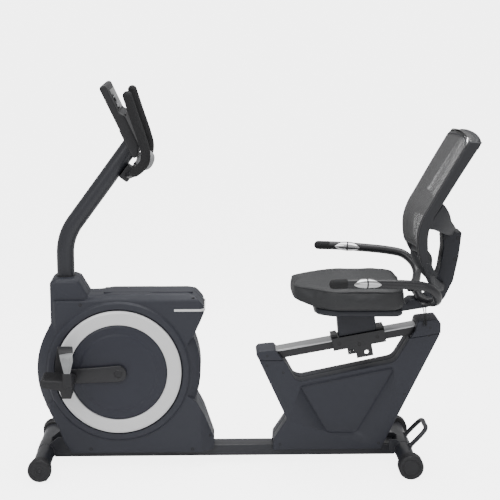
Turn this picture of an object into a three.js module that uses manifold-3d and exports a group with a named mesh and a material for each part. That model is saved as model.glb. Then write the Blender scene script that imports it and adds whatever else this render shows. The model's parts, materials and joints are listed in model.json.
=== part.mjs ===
// A recumbent exercise bike with a magnetic flywheel drive, as an assembly of its own parts.
// Millimetres, +Z up. The rider faces -X and sits at +X, so the rider's left side is -Y.
// The origin is on the floor, midway between the front and rear ends and on the centre plane.

import * as THREE from "three";
import { mergeVertices } from "three/addons/utils/BufferGeometryUtils.js";
import Module from "manifold-3d";

const wasm = await Module();
wasm.setup();

// Driving dimensions.
const GAP = 0.3; // between pieces that touch
const FINEST = 0.08; // facets that stand out less than this are merged
const FRONT_X = -734; // axis of the front stabiliser
const REAR_X = 521; // axis of the rear stabiliser
const FOOT_R = 43; // outer radius of the stabilisers' end caps
const TUBE_R = 30; // stabiliser and console mast tubes
const TUBE_WALL = 2.5;
const STABILISER_HALF = 190; // half length of a bare stabiliser tube
const CAP_END = 236; // |y| of the outer faces at the stabilisers' ends
const BEAM_HALF = 37;
const BEAM_BOTTOM = 24;
const BEAM_TOP = 64;

const CRANK_X = -471.5;
const CRANK_Z = 347;
const CRANK_LENGTH = 165;
const CRANK_DROP = THREE.MathUtils.degToRad(3); // the left crank points forward and this much down
const DISC_R = 166.5;
const RING_IN = 167.5;
const RING_OUT = 215.5;
const RIM_IN = 219.5; // the shroud's circular lip around the ring
const RIM_OUT = 248;
const SHROUD_HALF = 85;
const SHROUD_WALL = 3;
const SHROUD_BEVEL = 24;
const BULGE_R = 283; // the shroud's round front and rear, about the crank axis

const MAST_X = -653;
const MAST_LEAN = THREE.MathUtils.degToRad(36.5); // the upper mast leans back this far from upright
const MAST_ELBOW_Z = 806;
const CONSOLE_TOP = new THREE.Vector2(-514, 1313); // upper front corner of the console's back face
const CONSOLE_LEAN = THREE.MathUtils.degToRad(24.7);
const CONSOLE_LENGTH = 252;
const CONSOLE_HALF = 120;
const ARM_Y = 140; // the front handlebar's arms

const FLYWHEEL_X = -330;
const FLYWHEEL_Z = 235;
const FLYWHEEL_R = 80;
const PULLEY_R = 105;
const SMALL_PULLEY_R = 22;
const BELT_Y = 25; // middle of the belt and of both pulleys

const COVER_HALF = 55;
const RAIL_SLOPE = THREE.MathUtils.degToRad(10.3);
const RAIL_X = 318; // the rail's own frame has its origin at the middle of the track's top face
const RAIL_Z = 450;
const RAIL_HALF = 290;
const TRACK_HALF = 35;
const TRACK_THICK = 6;
const CARRIAGE_AT = 39; // middle of the carriage along the rail
const CARRIAGE_HALF = 93;

const SEAT_BOTTOM = 575;
const SEAT_TOP = 654;
const SEAT_HALF = 205;
const SEAT_FRONT = 120;
const SEAT_REAR = 512;
const FRAME_HALF = 40; // the seat frame's half width
const SIDE_BAR_R = 12.5;
const GRIP_R = 15;
const BACK_HALF = 187; // the backrest's half width
const BACK_RAIL = 26; // thickness of its side rails

const PAINT = { roughness: 0.45, metalness: 0.3 };
const PLASTIC = { roughness: 0.6, metalness: 0.0 };
const CHARCOAL = 0x3b3d44;
const BLACK = 0x1d1e21;
const SILVER = 0xd8d9da;

const bike = new THREE.Group();

// ---------- solids ----------

function solid(geometry) {
  const g = geometry.clone();
  g.deleteAttribute("normal");
  g.deleteAttribute("uv");
  const merged = mergeVertices(g, 1e-3);
  return new wasm.Manifold(
    new wasm.Mesh({
      numProp: 3,
      vertProperties: merged.attributes.position.array,
      triVerts: new Uint32Array(merged.index.array),
    }),
  );
}

function join(...solids) {
  return solids.reduce((whole, piece) => whole.add(piece));
}

function cut(whole, ...tools) {
  return tools.reduce((rest, tool) => rest.subtract(tool), whole);
}

function add(name, made, color, finish) {
  const m = made.asOriginal().simplify(FINEST).getMesh();
  const g = new THREE.BufferGeometry();
  g.setAttribute("position", new THREE.BufferAttribute(m.vertProperties, 3));
  g.setIndex(new THREE.BufferAttribute(m.triVerts, 1));
  const mesh = new THREE.Mesh(g, new THREE.MeshStandardMaterial({ color, ...finish }));
  mesh.name = name;
  bike.add(mesh);
}

function box(x0, x1, y0, y1, z0, z1) {
  const g = new THREE.BoxGeometry(x1 - x0, y1 - y0, z1 - z0);
  return solid(g.translate((x0 + x1) / 2, (y0 + y1) / 2, (z0 + z1) / 2));
}

// A cylinder along Y through (x, z), from y0 to y1.
function barrel(x, z, r, y0, y1, sides = 24) {
  const g = new THREE.CylinderGeometry(r, r, y1 - y0, sides);
  return solid(g.translate(x, (y0 + y1) / 2, z));
}

// A cylinder along Z at x on the centre plane, from z0 to z1.
function upright(x, r, z0, z1, sides = 24) {
  const g = new THREE.CylinderGeometry(r, r, z1 - z0, sides).rotateX(Math.PI / 2);
  return solid(g.translate(x, 0, (z0 + z1) / 2));
}

// A shape drawn in the X-Z plane and carried along Y from y0 to y1.
function plate(shape, y0, y1, options = {}) {
  const settings = { depth: y1 - y0, bevelEnabled: false, curveSegments: 6, ...options };
  return solid(new THREE.ExtrudeGeometry(shape, settings).rotateX(Math.PI / 2).translate(0, y1, 0));
}

// The same, with rounded or chamfered long edges inside the shape's own outline.
function softPlate(shape, y0, y1, bevel, grow = 0, segments = 2) {
  return plate(shape, y0 + bevel, y1 - bevel, {
    bevelEnabled: true,
    bevelThickness: bevel,
    bevelSize: bevel,
    bevelOffset: grow - bevel,
    bevelSegments: segments,
  });
}

// A closed outline through points [x, z], with corners rounded to the radius given as a third number.
function outline(points) {
  const shape = new THREE.Shape();
  const count = points.length;
  const at = (i) => new THREE.Vector2(...points[(i + count) % count]);
  for (let i = 0; i < count; i++) {
    const here = at(i);
    const radius = points[i][2] ?? 0;
    const back = at(i - 1).sub(here);
    const ahead = at(i + 1).sub(here);
    const turn = Math.PI - back.angleTo(ahead);
    const reach = radius * Math.tan(turn / 2);
    const from = here.clone().addScaledVector(back.normalize(), reach);
    const to = here.clone().addScaledVector(ahead.normalize(), reach);
    if (i === 0) shape.moveTo(from.x, from.y);
    else shape.lineTo(from.x, from.y);
    if (radius > 0) shape.quadraticCurveTo(here.x, here.y, to.x, to.y);
  }
  shape.closePath();
  return shape;
}

// A round bar along a smooth curve through points [x, y, z].
function bar(points, radius, steps = 24, sides = 7) {
  const path = new THREE.CatmullRomCurve3(points.map((p) => new THREE.Vector3(...p)), false, "centripetal");
  return along(path, radius, steps, sides);
}

function along(path, radius, steps, sides) {
  const section = new THREE.Shape().absarc(0, 0, radius, 0, 2 * Math.PI);
  const settings = { extrudePath: path, steps, bevelEnabled: false, curveSegments: sides };
  return solid(new THREE.ExtrudeGeometry(section, settings));
}

// A closed ring about the Y axis through (x, z), from a profile of [radius, y] points.
function ring(x, z, profile, sides = 32) {
  const points = profile.map(([r, y]) => new THREE.Vector2(r, y));
  if (THREE.ShapeUtils.isClockWise(points)) points.reverse();
  points.push(points[0].clone());
  return solid(new THREE.LatheGeometry(points, sides).translate(x, 0, z));
}

// The mirror image across the centre plane.
function mirrored(made) {
  return made.mirror([0, 1, 0]);
}

function pair(name, left, color, finish) {
  add("left_" + name, left, color, finish);
  add("right_" + name, mirrored(left), color, finish);
}

// ---------- base ----------

function stabiliserTube(x) {
  const outer = barrel(x, FOOT_R, TUBE_R, -STABILISER_HALF, STABILISER_HALF, 24);
  const inner = barrel(x, FOOT_R, TUBE_R - TUBE_WALL, -STABILISER_HALF - 1, STABILISER_HALF + 1, 24);
  return { outer, inner };
}

function addBase() {
  const beamFront = FRONT_X + TUBE_R + GAP;
  const beamRear = REAR_X - TUBE_R - GAP;
  const beam = box(beamFront, beamRear, -BEAM_HALF, BEAM_HALF, BEAM_BOTTOM, BEAM_TOP);
  const inside = box(
    beamFront - 1,
    beamRear + 1,
    -BEAM_HALF + TUBE_WALL,
    BEAM_HALF - TUBE_WALL,
    BEAM_BOTTOM + TUBE_WALL,
    BEAM_TOP - TUBE_WALL,
  );
  add("main_beam", cut(beam, inside), CHARCOAL, PAINT);

  // Each stabiliser carries two cheek plates that clasp the beam.
  const cheekIn = BEAM_HALF + GAP;
  const cheekOut = cheekIn + 5;
  const frontCheek = outline([[-742, 52], [-722, 72], [-690, 98, 8], [-642, 98, 6], [-642, 30, 6], [-735, 30]]);
  const rearCheek = outline([[528, 52], [508, 72], [496, 80, 6], [470, 80, 6], [470, 30, 6], [522, 30]]);
  for (const [name, x, cheek] of [["front", FRONT_X, frontCheek], ["rear", REAR_X, rearCheek]]) {
    const tube = stabiliserTube(x);
    const left = plate(cheek, -cheekOut, -cheekIn);
    add(name + "_stabiliser", cut(join(tube.outer, left, mirrored(left)), tube.inner), CHARCOAL, PAINT);
  }

  // Front end caps stand on a pad and carry the transport wheels; rear caps turn to level the bike.
  const capIn = STABILISER_HALF + GAP;
  const wheelIn = 214;
  const pad = outline([[-760, 24], [-756, 0, 4], [-712, 0, 4], [-708, 24]]);
  const boss = barrel(FRONT_X, FOOT_R, 8, -wheelIn - 18, -wheelIn);
  const frontCap = join(barrel(FRONT_X, FOOT_R, 37, -wheelIn, -capIn), plate(pad, -wheelIn, -capIn), boss);
  pair("front_cap", frontCap, BLACK, PLASTIC);
  const wheel = ring(FRONT_X, FOOT_R, [
    [8.1, -wheelIn - 0.5],
    [38, -wheelIn - 0.5],
    [40.5, -wheelIn - 4],
    [40.5, -CAP_END + 6],
    [36, -CAP_END],
    [12, -CAP_END],
    [8.1, -CAP_END + 3],
  ], 24);
  pair("transport_wheel", wheel, BLACK, PLASTIC);
  const levelProfile = [
    [0, -capIn],
    [FOOT_R, -capIn],
    [FOOT_R, -CAP_END + 6],
    [FOOT_R - 5, -CAP_END],
    [0, -CAP_END],
  ];
  pair("rear_cap", ring(REAR_X + 3, FOOT_R, levelProfile, 28), BLACK, PLASTIC);

  // The lift handle is a U of round bar that stands out behind the rear stabiliser.
  const start = (TUBE_R + 1.5) * Math.SQRT1_2;
  const foot = [REAR_X + start, FOOT_R + start];
  const lift = bar([
    [foot[0], -62, foot[1]],
    [foot[0] + 36, -62, foot[1] + 38],
    [foot[0] + 51, -55, foot[1] + 54],
    [foot[0] + 56, -38, foot[1] + 59],
    [foot[0] + 56, 0, foot[1] + 59],
    [foot[0] + 56, 38, foot[1] + 59],
    [foot[0] + 51, 55, foot[1] + 54],
    [foot[0] + 36, 62, foot[1] + 38],
    [foot[0], 62, foot[1]],
  ], 8, 20, 4);
  add("rear_lift_handle", lift, CHARCOAL, PAINT);
}

// ---------- console mast and console ----------

// A point on the console: s runs down its back face from the top corner, n out of its front face.
function consolePoint(s, n) {
  const down = new THREE.Vector2(Math.sin(CONSOLE_LEAN), -Math.cos(CONSOLE_LEAN));
  const out = new THREE.Vector2(Math.cos(CONSOLE_LEAN), Math.sin(CONSOLE_LEAN));
  const p = CONSOLE_TOP.clone().addScaledVector(down, s).addScaledVector(out, n);
  return [p.x, p.y];
}

function consoleBlock(s0, s1, n0, n1, y0, y1) {
  const corners = [[s0, n0], [s0, n1], [s1, n1], [s1, n0]];
  return plate(outline(corners.map(([s, n]) => consolePoint(s, n))), y0, y1);
}

function mastPath(top) {
  const lean = new THREE.Vector3(Math.sin(MAST_LEAN), 0, Math.cos(MAST_LEAN));
  const elbow = new THREE.Vector3(MAST_X, 0, MAST_ELBOW_Z);
  const bend = 62;
  const before = elbow.clone().add(new THREE.Vector3(0, 0, -bend));
  const after = elbow.clone().addScaledVector(lean, bend);
  const path = new THREE.CurvePath();
  path.add(new THREE.LineCurve3(new THREE.Vector3(MAST_X, 0, 232), before));
  path.add(new THREE.QuadraticBezierCurve3(before, elbow, after));
  path.add(new THREE.LineCurve3(after, elbow.clone().addScaledVector(lean, top)));
  return path;
}

function addMast() {
  const tube = cut(along(mastPath(430), TUBE_R, 12, 8), along(mastPath(431), TUBE_R - TUBE_WALL, 12, 8));
  // The top end is cut to lie against the console's back.
  add("console_mast", cut(tube, consoleBlock(-60, 420, -GAP, 200, -80, 80)), CHARCOAL, PAINT);
}

function addConsole() {
  const thin = 24;
  const thick = 38;
  const side = outline(
    [
      [0, 0, 11],
      [0, thin, 11],
      [96, thin],
      [108, thick],
      [226, thick],
      [CONSOLE_LENGTH, 20],
      [CONSOLE_LENGTH, 0],
    ].map(([s, n, r]) => [...consolePoint(s, n), r]),
  );
  const shell = softPlate(side, -CONSOLE_HALF, CONSOLE_HALF, 5);
  const screenRoom = consoleBlock(14, 88, thin - 2.5, thin + 10, -88, 88);
  const keys = [-40, 0, 40];
  const keyS = 165;
  const keyHalf = 10;
  const rooms = keys.map((y) =>
    consoleBlock(keyS - keyHalf, keyS + keyHalf, thick - 6, thick + 4, y - keyHalf - 1, y + keyHalf + 1),
  );
  add("console_body", cut(shell, screenRoom, ...rooms), BLACK, PLASTIC);
  const screen = consoleBlock(14 + GAP, 88 - GAP, thin - 2.5 + GAP, thin - 0.2, -88 + GAP, 88 - GAP);
  add("console_screen", screen, 0x10181c, { roughness: 0.15, metalness: 0.1 });
  const half = keyHalf - 0.5;
  ["down", "mode", "up"].forEach((name, i) => {
    const y = keys[i];
    const key = consoleBlock(keyS - half, keyS + half, thick - 3.5, thick + 1.5, y - half, y + half);
    add("key_" + name, key, 0x5a5c60, PLASTIC);
  });
}

function addFrontHandlebar() {
  const lean = new THREE.Vector2(Math.sin(MAST_LEAN), Math.cos(MAST_LEAN));
  const side = new THREE.Vector2(lean.y, -lean.x);
  const middle = new THREE.Vector2(-430, 1021);
  const corner = (u, v) => {
    const p = middle.clone().addScaledVector(lean, u).addScaledVector(side, v);
    return [p.x, p.y];
  };
  const arm = [
    [-366, -ARM_Y, 1108],
    [-376, -ARM_Y, 1150],
    [-404, -ARM_Y, 1236],
    [-426, -ARM_Y, 1304],
  ];
  const root = [[-430, 0, 1021], [-429, -38, 1021], [-414, -80, 1031], [-388, -116, 1052], [-369, -136, 1078]];
  const inside = [...arm.slice(0, -1), [-423, -ARM_Y, 1294]];
  const whole = [...inside.toReversed(), ...root.toReversed(), ...root.slice(1), ...inside].map((p, i) =>
    i > arm.length + root.length - 1 ? [p[0], -p[1], p[2]] : p,
  );
  const grip = [...root.slice(2), ...arm];
  // A saddle welded to the bar's middle bolts against the mast.
  const reachBack = -(new THREE.Vector2(MAST_X, MAST_ELBOW_Z).sub(middle).dot(side.clone().negate())) + TUBE_R;
  const mastSide = reachBack + GAP;
  const saddle = plate(
    outline([corner(-24, mastSide), corner(24, mastSide), corner(24, 4), corner(-24, 4)]),
    -28,
    28,
  );
  add("front_handlebar", join(bar(whole, 12.5, 34, 4), saddle), BLACK, PAINT);
  const hollow = cut(bar(grip, 16, 10, 5), bar(whole, 13.4, 34, 4));
  const tip = solid(new THREE.SphereGeometry(15.6, 10, 6).translate(-427.5, -ARM_Y, 1309));
  const beyond = solid(new THREE.SphereGeometry(13.8, 14, 9).translate(-423, -ARM_Y, 1294));
  pair("front_grip", cut(join(hollow, cut(tip, beyond)), beyond), BLACK, { roughness: 0.9, metalness: 0 });
  const dome = new THREE.SphereGeometry(1, 14, 8).scale(34, 42, 36).rotateY(-0.5).translate(-372, 0, 1066);
  const room = box(-470, -395, -60, 60, 960, 1120);
  add("handlebar_cover", cut(solid(dome), room, consoleBlock(-20, 300, -60, 39, -90, 90)), 0x9b9c9e, PLASTIC);
}

// ---------- drive ----------

// The left crank points forward and a little down, and the right one the other way.
const PEDAL_X = CRANK_X - CRANK_LENGTH * Math.cos(CRANK_DROP);
const PEDAL_Z = CRANK_Z - CRANK_LENGTH * Math.sin(CRANK_DROP);

// Turns a left-hand crank piece half a turn about the crank axis and puts it on the right side.
function opposite(left) {
  const turned = left.translate([-CRANK_X, 0, -CRANK_Z]).rotate([0, 180, 0]);
  return mirrored(turned.translate([CRANK_X, 0, CRANK_Z]));
}

function addDriveFrame() {
  // The column stands on the beam and holds the crank's bearing shell, the mast socket and the flywheel fork.
  const column = box(CRANK_X - 28, CRANK_X + 28, -48, 12, BEAM_TOP + GAP, CRANK_Z);
  const shell = barrel(CRANK_X, CRANK_Z, 30, -52, 13);
  const web = box(MAST_X + 20, CRANK_X, -20, 12, 238, 330);
  const socket = upright(MAST_X, 38, 225, 375, 20);
  const mastRoom = upright(MAST_X, TUBE_R + 1, 230, 430);
  const innerArm = outline([
    [CRANK_X, 150],
    [CRANK_X, 270],
    [FLYWHEEL_X - 10, FLYWHEEL_Z + 24, 8],
    [FLYWHEEL_X + 24, FLYWHEEL_Z + 24, 10],
    [FLYWHEEL_X + 24, FLYWHEEL_Z - 24, 10],
    [FLYWHEEL_X - 20, FLYWHEEL_Z - 24, 8],
  ]);
  const pinAt = magnetPin();
  const outerArm = outline([
    [CRANK_X, 130],
    [CRANK_X, 270],
    [pinAt.x - 12, pinAt.y + 12, 6],
    [pinAt.x + 12, pinAt.y + 12, 10],
    [FLYWHEEL_X + 24, FLYWHEEL_Z - 24, 10],
  ]);
  const pin = barrel(pinAt.x, pinAt.y, 5, -41, -6, 24);
  const whole = join(column, shell, web, socket, plate(innerArm, 4, 12), plate(outerArm, -48, -40), pin);
  const axleRoom = barrel(CRANK_X, CRANK_Z, 12.3, -60, 20);
  const shaftRoom = barrel(FLYWHEEL_X, FLYWHEEL_Z, 10.3, -60, 20);
  const hollow = box(CRANK_X - 25, CRANK_X + 25, -45, 9, BEAM_TOP - 5, CRANK_Z - 40);
  add("drive_frame", cut(whole, mastRoom, hollow, axleRoom, shaftRoom), BLACK, PAINT);
}

function addDrive() {
  const belt = BELT_Y;
  const wheelIn = -34;
  const wheelOut = -4;
  const pulley = ring(CRANK_X, CRANK_Z, [
    [11, belt - 8],
    [PULLEY_R + 4, belt - 8],
    [PULLEY_R + 4, belt - 6.5],
    [PULLEY_R, belt - 6.5],
    [PULLEY_R, belt + 6.5],
    [PULLEY_R + 4, belt + 6.5],
    [PULLEY_R + 4, belt + 8],
    [11, belt + 8],
  ]);
  // The pulley is pressed on the crank axle.
  const axle = barrel(CRANK_X, CRANK_Z, 12, -104.5, 104.5);
  add("crank_axle_pulley", join(pulley, axle), 0x6a6c70, { roughness: 0.4, metalness: 0.8 });

  const shaft = barrel(FLYWHEEL_X, FLYWHEEL_Z, 10, -52, belt + 10);
  const rim = barrel(FLYWHEEL_X, FLYWHEEL_Z, FLYWHEEL_R, wheelIn, wheelOut, 32);
  const dish = (y0, y1) =>
    cut(barrel(FLYWHEEL_X, FLYWHEEL_Z, 62, y0, y1), barrel(FLYWHEEL_X, FLYWHEEL_Z, 22, y0 - 1, y1 + 1));
  const small = ring(FLYWHEEL_X, FLYWHEEL_Z, [
    [9, belt - 8],
    [SMALL_PULLEY_R + 3, belt - 8],
    [SMALL_PULLEY_R + 3, belt - 6.5],
    [SMALL_PULLEY_R, belt - 6.5],
    [SMALL_PULLEY_R, belt + 6.5],
    [SMALL_PULLEY_R + 3, belt + 6.5],
    [SMALL_PULLEY_R + 3, belt + 8],
    [9, belt + 8],
  ], 20);
  const hollows = [dish(wheelIn - 1, wheelIn + 9), dish(wheelOut - 9, wheelOut + 1)];
  const flywheel = cut(join(rim, shaft, small), ...hollows);
  add("flywheel", flywheel, 0x8c8f92, { roughness: 0.35, metalness: 1 });

  // The belt runs on the tangents that both pulleys share.
  const between = new THREE.Vector2(FLYWHEEL_X - CRANK_X, FLYWHEEL_Z - CRANK_Z);
  const base = between.angle();
  const loop = (grow) => {
    const big = PULLEY_R + grow;
    const little = SMALL_PULLEY_R + grow;
    const open = Math.acos((big - little) / between.length());
    const shape = new THREE.Shape();
    shape.absarc(CRANK_X, CRANK_Z, big, base + open, base - open + 2 * Math.PI, false);
    shape.absarc(FLYWHEEL_X, FLYWHEEL_Z, little, base - open, base + open, false);
    shape.closePath();
    return shape;
  };
  const options = { curveSegments: 12 };
  const inside = plate(loop(1.4), belt - 7, belt + 7, options);
  const band = cut(plate(loop(4), belt - 6, belt + 6, options), inside);
  add("drive_belt", band, 0x18181a, { roughness: 0.85, metalness: 0 });
}

// The magnet bracket swings on a pin just outside the flywheel's rim.
function magnetPin() {
  const angle = THREE.MathUtils.degToRad(46);
  const reach = FLYWHEEL_R + 14;
  return new THREE.Vector2(FLYWHEEL_X + reach * Math.cos(angle), FLYWHEEL_Z + reach * Math.sin(angle));
}

function addResistance() {
  const from = THREE.MathUtils.degToRad(-86);
  const to = THREE.MathUtils.degToRad(46);
  const shape = new THREE.Shape();
  shape.absarc(FLYWHEEL_X, FLYWHEEL_Z, FLYWHEEL_R + 19, from, to, false);
  shape.absarc(FLYWHEEL_X, FLYWHEEL_Z, FLYWHEEL_R + 9, to, from, true);
  shape.closePath();
  const pin = magnetPin();
  const eye = barrel(pin.x, pin.y, 11, -36, -8);
  const arc = plate(shape, -36, -8, { curveSegments: 6 });
  const bracket = cut(join(arc, eye), barrel(pin.x, pin.y, 5.4, -60, 0));
  add("magnet_bracket", bracket, 0x6a6c70, { roughness: 0.4, metalness: 0.8 });
  const servo = join(
    box(-420, -360, -22, 22, BEAM_TOP + GAP, 104),
    barrel(-390, 104, 12, -16, 16),
  );
  add("resistance_servo", servo, BLACK, PLASTIC);
}

function addCranks() {
  const disc = cut(
    join(
      softPlate(circle(CRANK_X, CRANK_Z, DISC_R), -101, -89, 3, 0, 1),
      softPlate(circle(CRANK_X, CRANK_Z, 133), -104, -92, 2, 0, 1),
    ),
    barrel(CRANK_X, CRANK_Z, 12.3, -110, -80),
  );
  add("left_crank_disc", disc, BLACK, PLASTIC);
  add("right_crank_disc", opposite(disc), BLACK, PLASTIC);
  const trim = ring(CRANK_X, CRANK_Z, [
    [RING_IN, -90],
    [RING_IN, -101],
    [RING_IN + 3, -103],
    [RING_OUT - 4, -103],
    [RING_OUT, -100],
    [RING_OUT, -90],
  ], 36);
  add("left_disc_ring", trim, SILVER, { roughness: 0.3, metalness: 0.8 });
  add("right_disc_ring", opposite(trim), SILVER, { roughness: 0.3, metalness: 0.8 });

  // The arm is a flat bar with round ends; the pedal's spindle is screwed into it.
  const arm = new THREE.Shape();
  const up = Math.atan2(PEDAL_Z - CRANK_Z, PEDAL_X - CRANK_X);
  arm.absarc(CRANK_X, CRANK_Z, 28, up - 1.5 * Math.PI, up - 0.5 * Math.PI, false);
  arm.absarc(PEDAL_X, PEDAL_Z, 25, up - 0.5 * Math.PI, up + 0.5 * Math.PI, false);
  arm.closePath();
  const spindle = join(barrel(PEDAL_X, PEDAL_Z, 14, -122, -112), barrel(PEDAL_X, PEDAL_Z, 7, -228, -112, 24));
  const bar = softPlate(arm, -118, -105, 3, 0, 1);
  const whole = join(bar, spindle);
  add("left_crank_arm", whole, BLACK, PAINT);
  add("right_crank_arm", opposite(whole), BLACK, PAINT);
}

function circle(x, z, r, sides = 32) {
  const points = [];
  for (let i = 0; i < sides; i++) {
    const a = (2 * Math.PI * i) / sides;
    points.push(new THREE.Vector2(x + r * Math.cos(a), z + r * Math.sin(a)));
  }
  return new THREE.Shape(points);
}

// Moves a left pedal piece to the right crank's end without turning it over.
function rightPedal(left) {
  return mirrored(left).translate([2 * (CRANK_X - PEDAL_X), 0, 2 * (CRANK_Z - PEDAL_Z)]);
}

function addPedals() {
  const inner = -130;
  const outer = -232;
  const side = outline([
    [PEDAL_X - 88, PEDAL_Z + 22, 9],
    [PEDAL_X + 24, PEDAL_Z + 14, 8],
    [PEDAL_X + 18, PEDAL_Z - 18, 6],
    [PEDAL_X + 16, PEDAL_Z - 44, 5],
    [PEDAL_X - 16, PEDAL_Z - 44, 5],
    [PEDAL_X - 22, PEDAL_Z - 16, 8],
    [PEDAL_X - 84, PEDAL_Z - 6, 9],
  ]);
  const body = softPlate(side, outer, inner, 3, 0, 1);
  // Two windows through the tread, ahead of the axle.
  const windows = [-204, -160].map((y) => box(PEDAL_X - 74, PEDAL_X - 24, y, y + 34, 290, 380));
  const pedal = cut(body, barrel(PEDAL_X, PEDAL_Z, 7.3, outer - 2, inner + 2, 24), ...windows);
  add("left_pedal", pedal, BLACK, PLASTIC);
  add("right_pedal", rightPedal(pedal), BLACK, PLASTIC);

  // The strap is a band that arches over the foot, from one side of the pedal to the other.
  const arch = (grow, foot) => {
    const shape = new THREE.Shape();
    const top = PEDAL_Z + 104;
    shape.moveTo(outer - 1 - grow, foot);
    shape.lineTo(outer + 2 - grow, top - 30);
    const peak = top + 22 + grow;
    shape.bezierCurveTo(outer + 8 - grow, peak, inner - 8 + grow, peak, inner - 2 + grow, top - 30);
    shape.lineTo(inner + 1 + grow, foot);
    shape.closePath();
    return shape;
  };
  // Drawn in Y-Z and carried along X.
  const band = (shape, x0, x1) =>
    solid(
      new THREE.ExtrudeGeometry(shape, { depth: x1 - x0, bevelEnabled: false, curveSegments: 12 }).applyMatrix4(
        new THREE.Matrix4().set(0, 0, 1, x0, 1, 0, 0, 0, 0, 1, 0, 0, 0, 0, 0, 1),
      ),
    );
  const foot = PEDAL_Z + 9;
  const strap = cut(
    band(arch(3.3, foot), PEDAL_X - 34, PEDAL_X + 22),
    band(arch(0.3, foot - 10), PEDAL_X - 40, PEDAL_X + 30),
  );
  add("left_pedal_strap", strap, 0x55575a, { roughness: 0.5, metalness: 0 });
  add("right_pedal_strap", rightPedal(strap), 0x55575a, { roughness: 0.5, metalness: 0 });
}

// ---------- drive shroud ----------

// The shroud's outer form, moved inwards by inset: a round belly about the crank axis,
// an upper body with a bevelled top, and a flared foot.
function shroudForm(inset) {
  const half = SHROUD_HALF - inset;
  const shoulder = 60;
  const belly = ring(CRANK_X, CRANK_Z, [
    [0, -half],
    [RIM_OUT - inset, -half],
    [BULGE_R - inset, -shoulder],
    [BULGE_R - inset, shoulder],
    [RIM_OUT - inset, half],
    [0, half],
  ], 36);
  const top = 620 - inset;
  const upper = outline([
    [-300, CRANK_Z],
    [-211 - inset, 473, 30],
    [-175 - inset, 552, 20],
    [-179 - inset, 578, 14],
    [-206 - inset, 610 - inset, 14],
    [-234, top, 10],
    [-490, top, 20],
    [-530, top + 7, 16],
    [-572, top - 6],
    [-702 + inset, top - 8],
    [-702 + inset, 500],
    [-600, CRANK_Z],
  ]);
  const foot = outline([
    [-641 + inset, inset > 0 ? 30 : 52],
    [-667 + inset, 96],
    [-683 + inset, 143],
    [-703 + inset, 181, 20],
    [-724 + inset, 226],
    [-600, 330],
    [-340, 330],
    [-204 - inset, 236],
    [-177 - inset, 186, 20],
    [-143 - inset, 92, 10],
    [-143 - inset, 60, 6],
    [-152 - inset, inset > 0 ? 30 : 52],
  ]);
  // Seen from the front, the top slopes down to the sides; seen from above, the corners are cut off.
  const front = new THREE.Shape();
  const eaves = 600 - inset;
  const ridge = 640 - inset;
  const bevelled = [[-half, 0], [half, 0], [half, eaves], [42, ridge], [-42, ridge], [-half, eaves]];
  bevelled.forEach(([y, z], i) => (i ? front.lineTo(y, z) : front.moveTo(y, z)));
  const alongX = new THREE.Matrix4().set(0, 0, 1, -800, 1, 0, 0, 0, 0, 1, 0, 0, 0, 0, 0, 1);
  const slope = new THREE.ExtrudeGeometry(front, { depth: 700, bevelEnabled: false });
  const sloped = solid(slope.applyMatrix4(alongX));
  const plan = new THREE.Shape();
  const left = -702 + inset;
  const right = -143 - inset;
  const cuts = [
    [left, -half + 26],
    [left + 18, -half],
    [right - 48, -half],
    [right, -half + 34],
    [right, half - 34],
    [right - 48, half],
    [left + 18, half],
    [left, half - 26],
  ];
  cuts.forEach(([x, y], i) => (i ? plan.lineTo(x, y) : plan.moveTo(x, y)));
  const cornered = solid(new THREE.ExtrudeGeometry(plan, { depth: 700, bevelEnabled: false }));
  const body = plate(upper, -half, half).intersect(sloped).intersect(cornered);
  return join(belly, body, plate(foot, -half, half).intersect(cornered));
}

function collarSide() {
  return outline([
    [-704, 560],
    [-574, 560],
    [-574, 618],
    [-600, 658, 12],
    [-618, 669, 14],
    [-684, 669, 16],
    [-706, 650, 16],
  ]);
}

function addShroud() {
  const collar = softPlate(collarSide(), -50, 50, 8, 0, 2);
  const collarRoom = softPlate(collarSide(), -47, 47, 8, -3, 2);
  const lip = ring(CRANK_X, CRANK_Z, [
    [RIM_IN, -SHROUD_HALF + 2],
    [RIM_IN, -94],
    [RIM_OUT - 8, -94],
    [RIM_OUT, -SHROUD_HALF + 2],
  ], 36);
  const shell = join(shroudForm(0), collar, lip, mirrored(lip));
  const rooms = join(shroudForm(SHROUD_WALL), collarRoom);
  const mastRoom = upright(MAST_X, TUBE_R + 1, 470, 770);
  const axleRoom = barrel(CRANK_X, CRANK_Z, 24, -100, 100);
  const beamRoom = box(-760, -100, -BEAM_HALF - GAP, BEAM_HALF + GAP, 40, BEAM_TOP + GAP);
  const cheekRoom = box(-760, -638, -46, 46, 40, 102);
  const coverRoom = box(-522, -214, -42, 42, 617, 640);
  const open = cut(shell, rooms, mastRoom, axleRoom, beamRoom, cheekRoom, coverRoom);
  const half = box(-800, -100, -120, -GAP / 2, 0, 700);
  pair("shroud", open.intersect(half), CHARCOAL, PLASTIC);
  const lid = outline([[-521, 617.4], [-215, 617.4], [-217, 622, 2], [-519, 622, 2]]);
  add("shroud_top_cover", softPlate(lid, -41.5, 41.5, 1, 0, 1), CHARCOAL, PLASTIC);
  const band = cut(shroudForm(-1.4), shroudForm(-GAP)).intersect(box(-279, -100, -120, 120, 557, 566));
  add("shroud_light_strip", band, 0xe6e6e6, { roughness: 0.3, metalness: 0 });
}

// ---------- rear frame and its covers ----------

// A point given along the rail from its middle and up from its top face.
function railPoint(along, up) {
  const x = RAIL_X + along * Math.cos(RAIL_SLOPE) - up * Math.sin(RAIL_SLOPE);
  return [x, RAIL_Z + along * Math.sin(RAIL_SLOPE) + up * Math.cos(RAIL_SLOPE)];
}

function railBlock(s0, s1, up0, up1, y0, y1) {
  const corners = [[s0, up0], [s1, up0], [s1, up1], [s0, up1]];
  return plate(outline(corners.map(([s, up]) => railPoint(s, up))), y0, y1);
}

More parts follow.
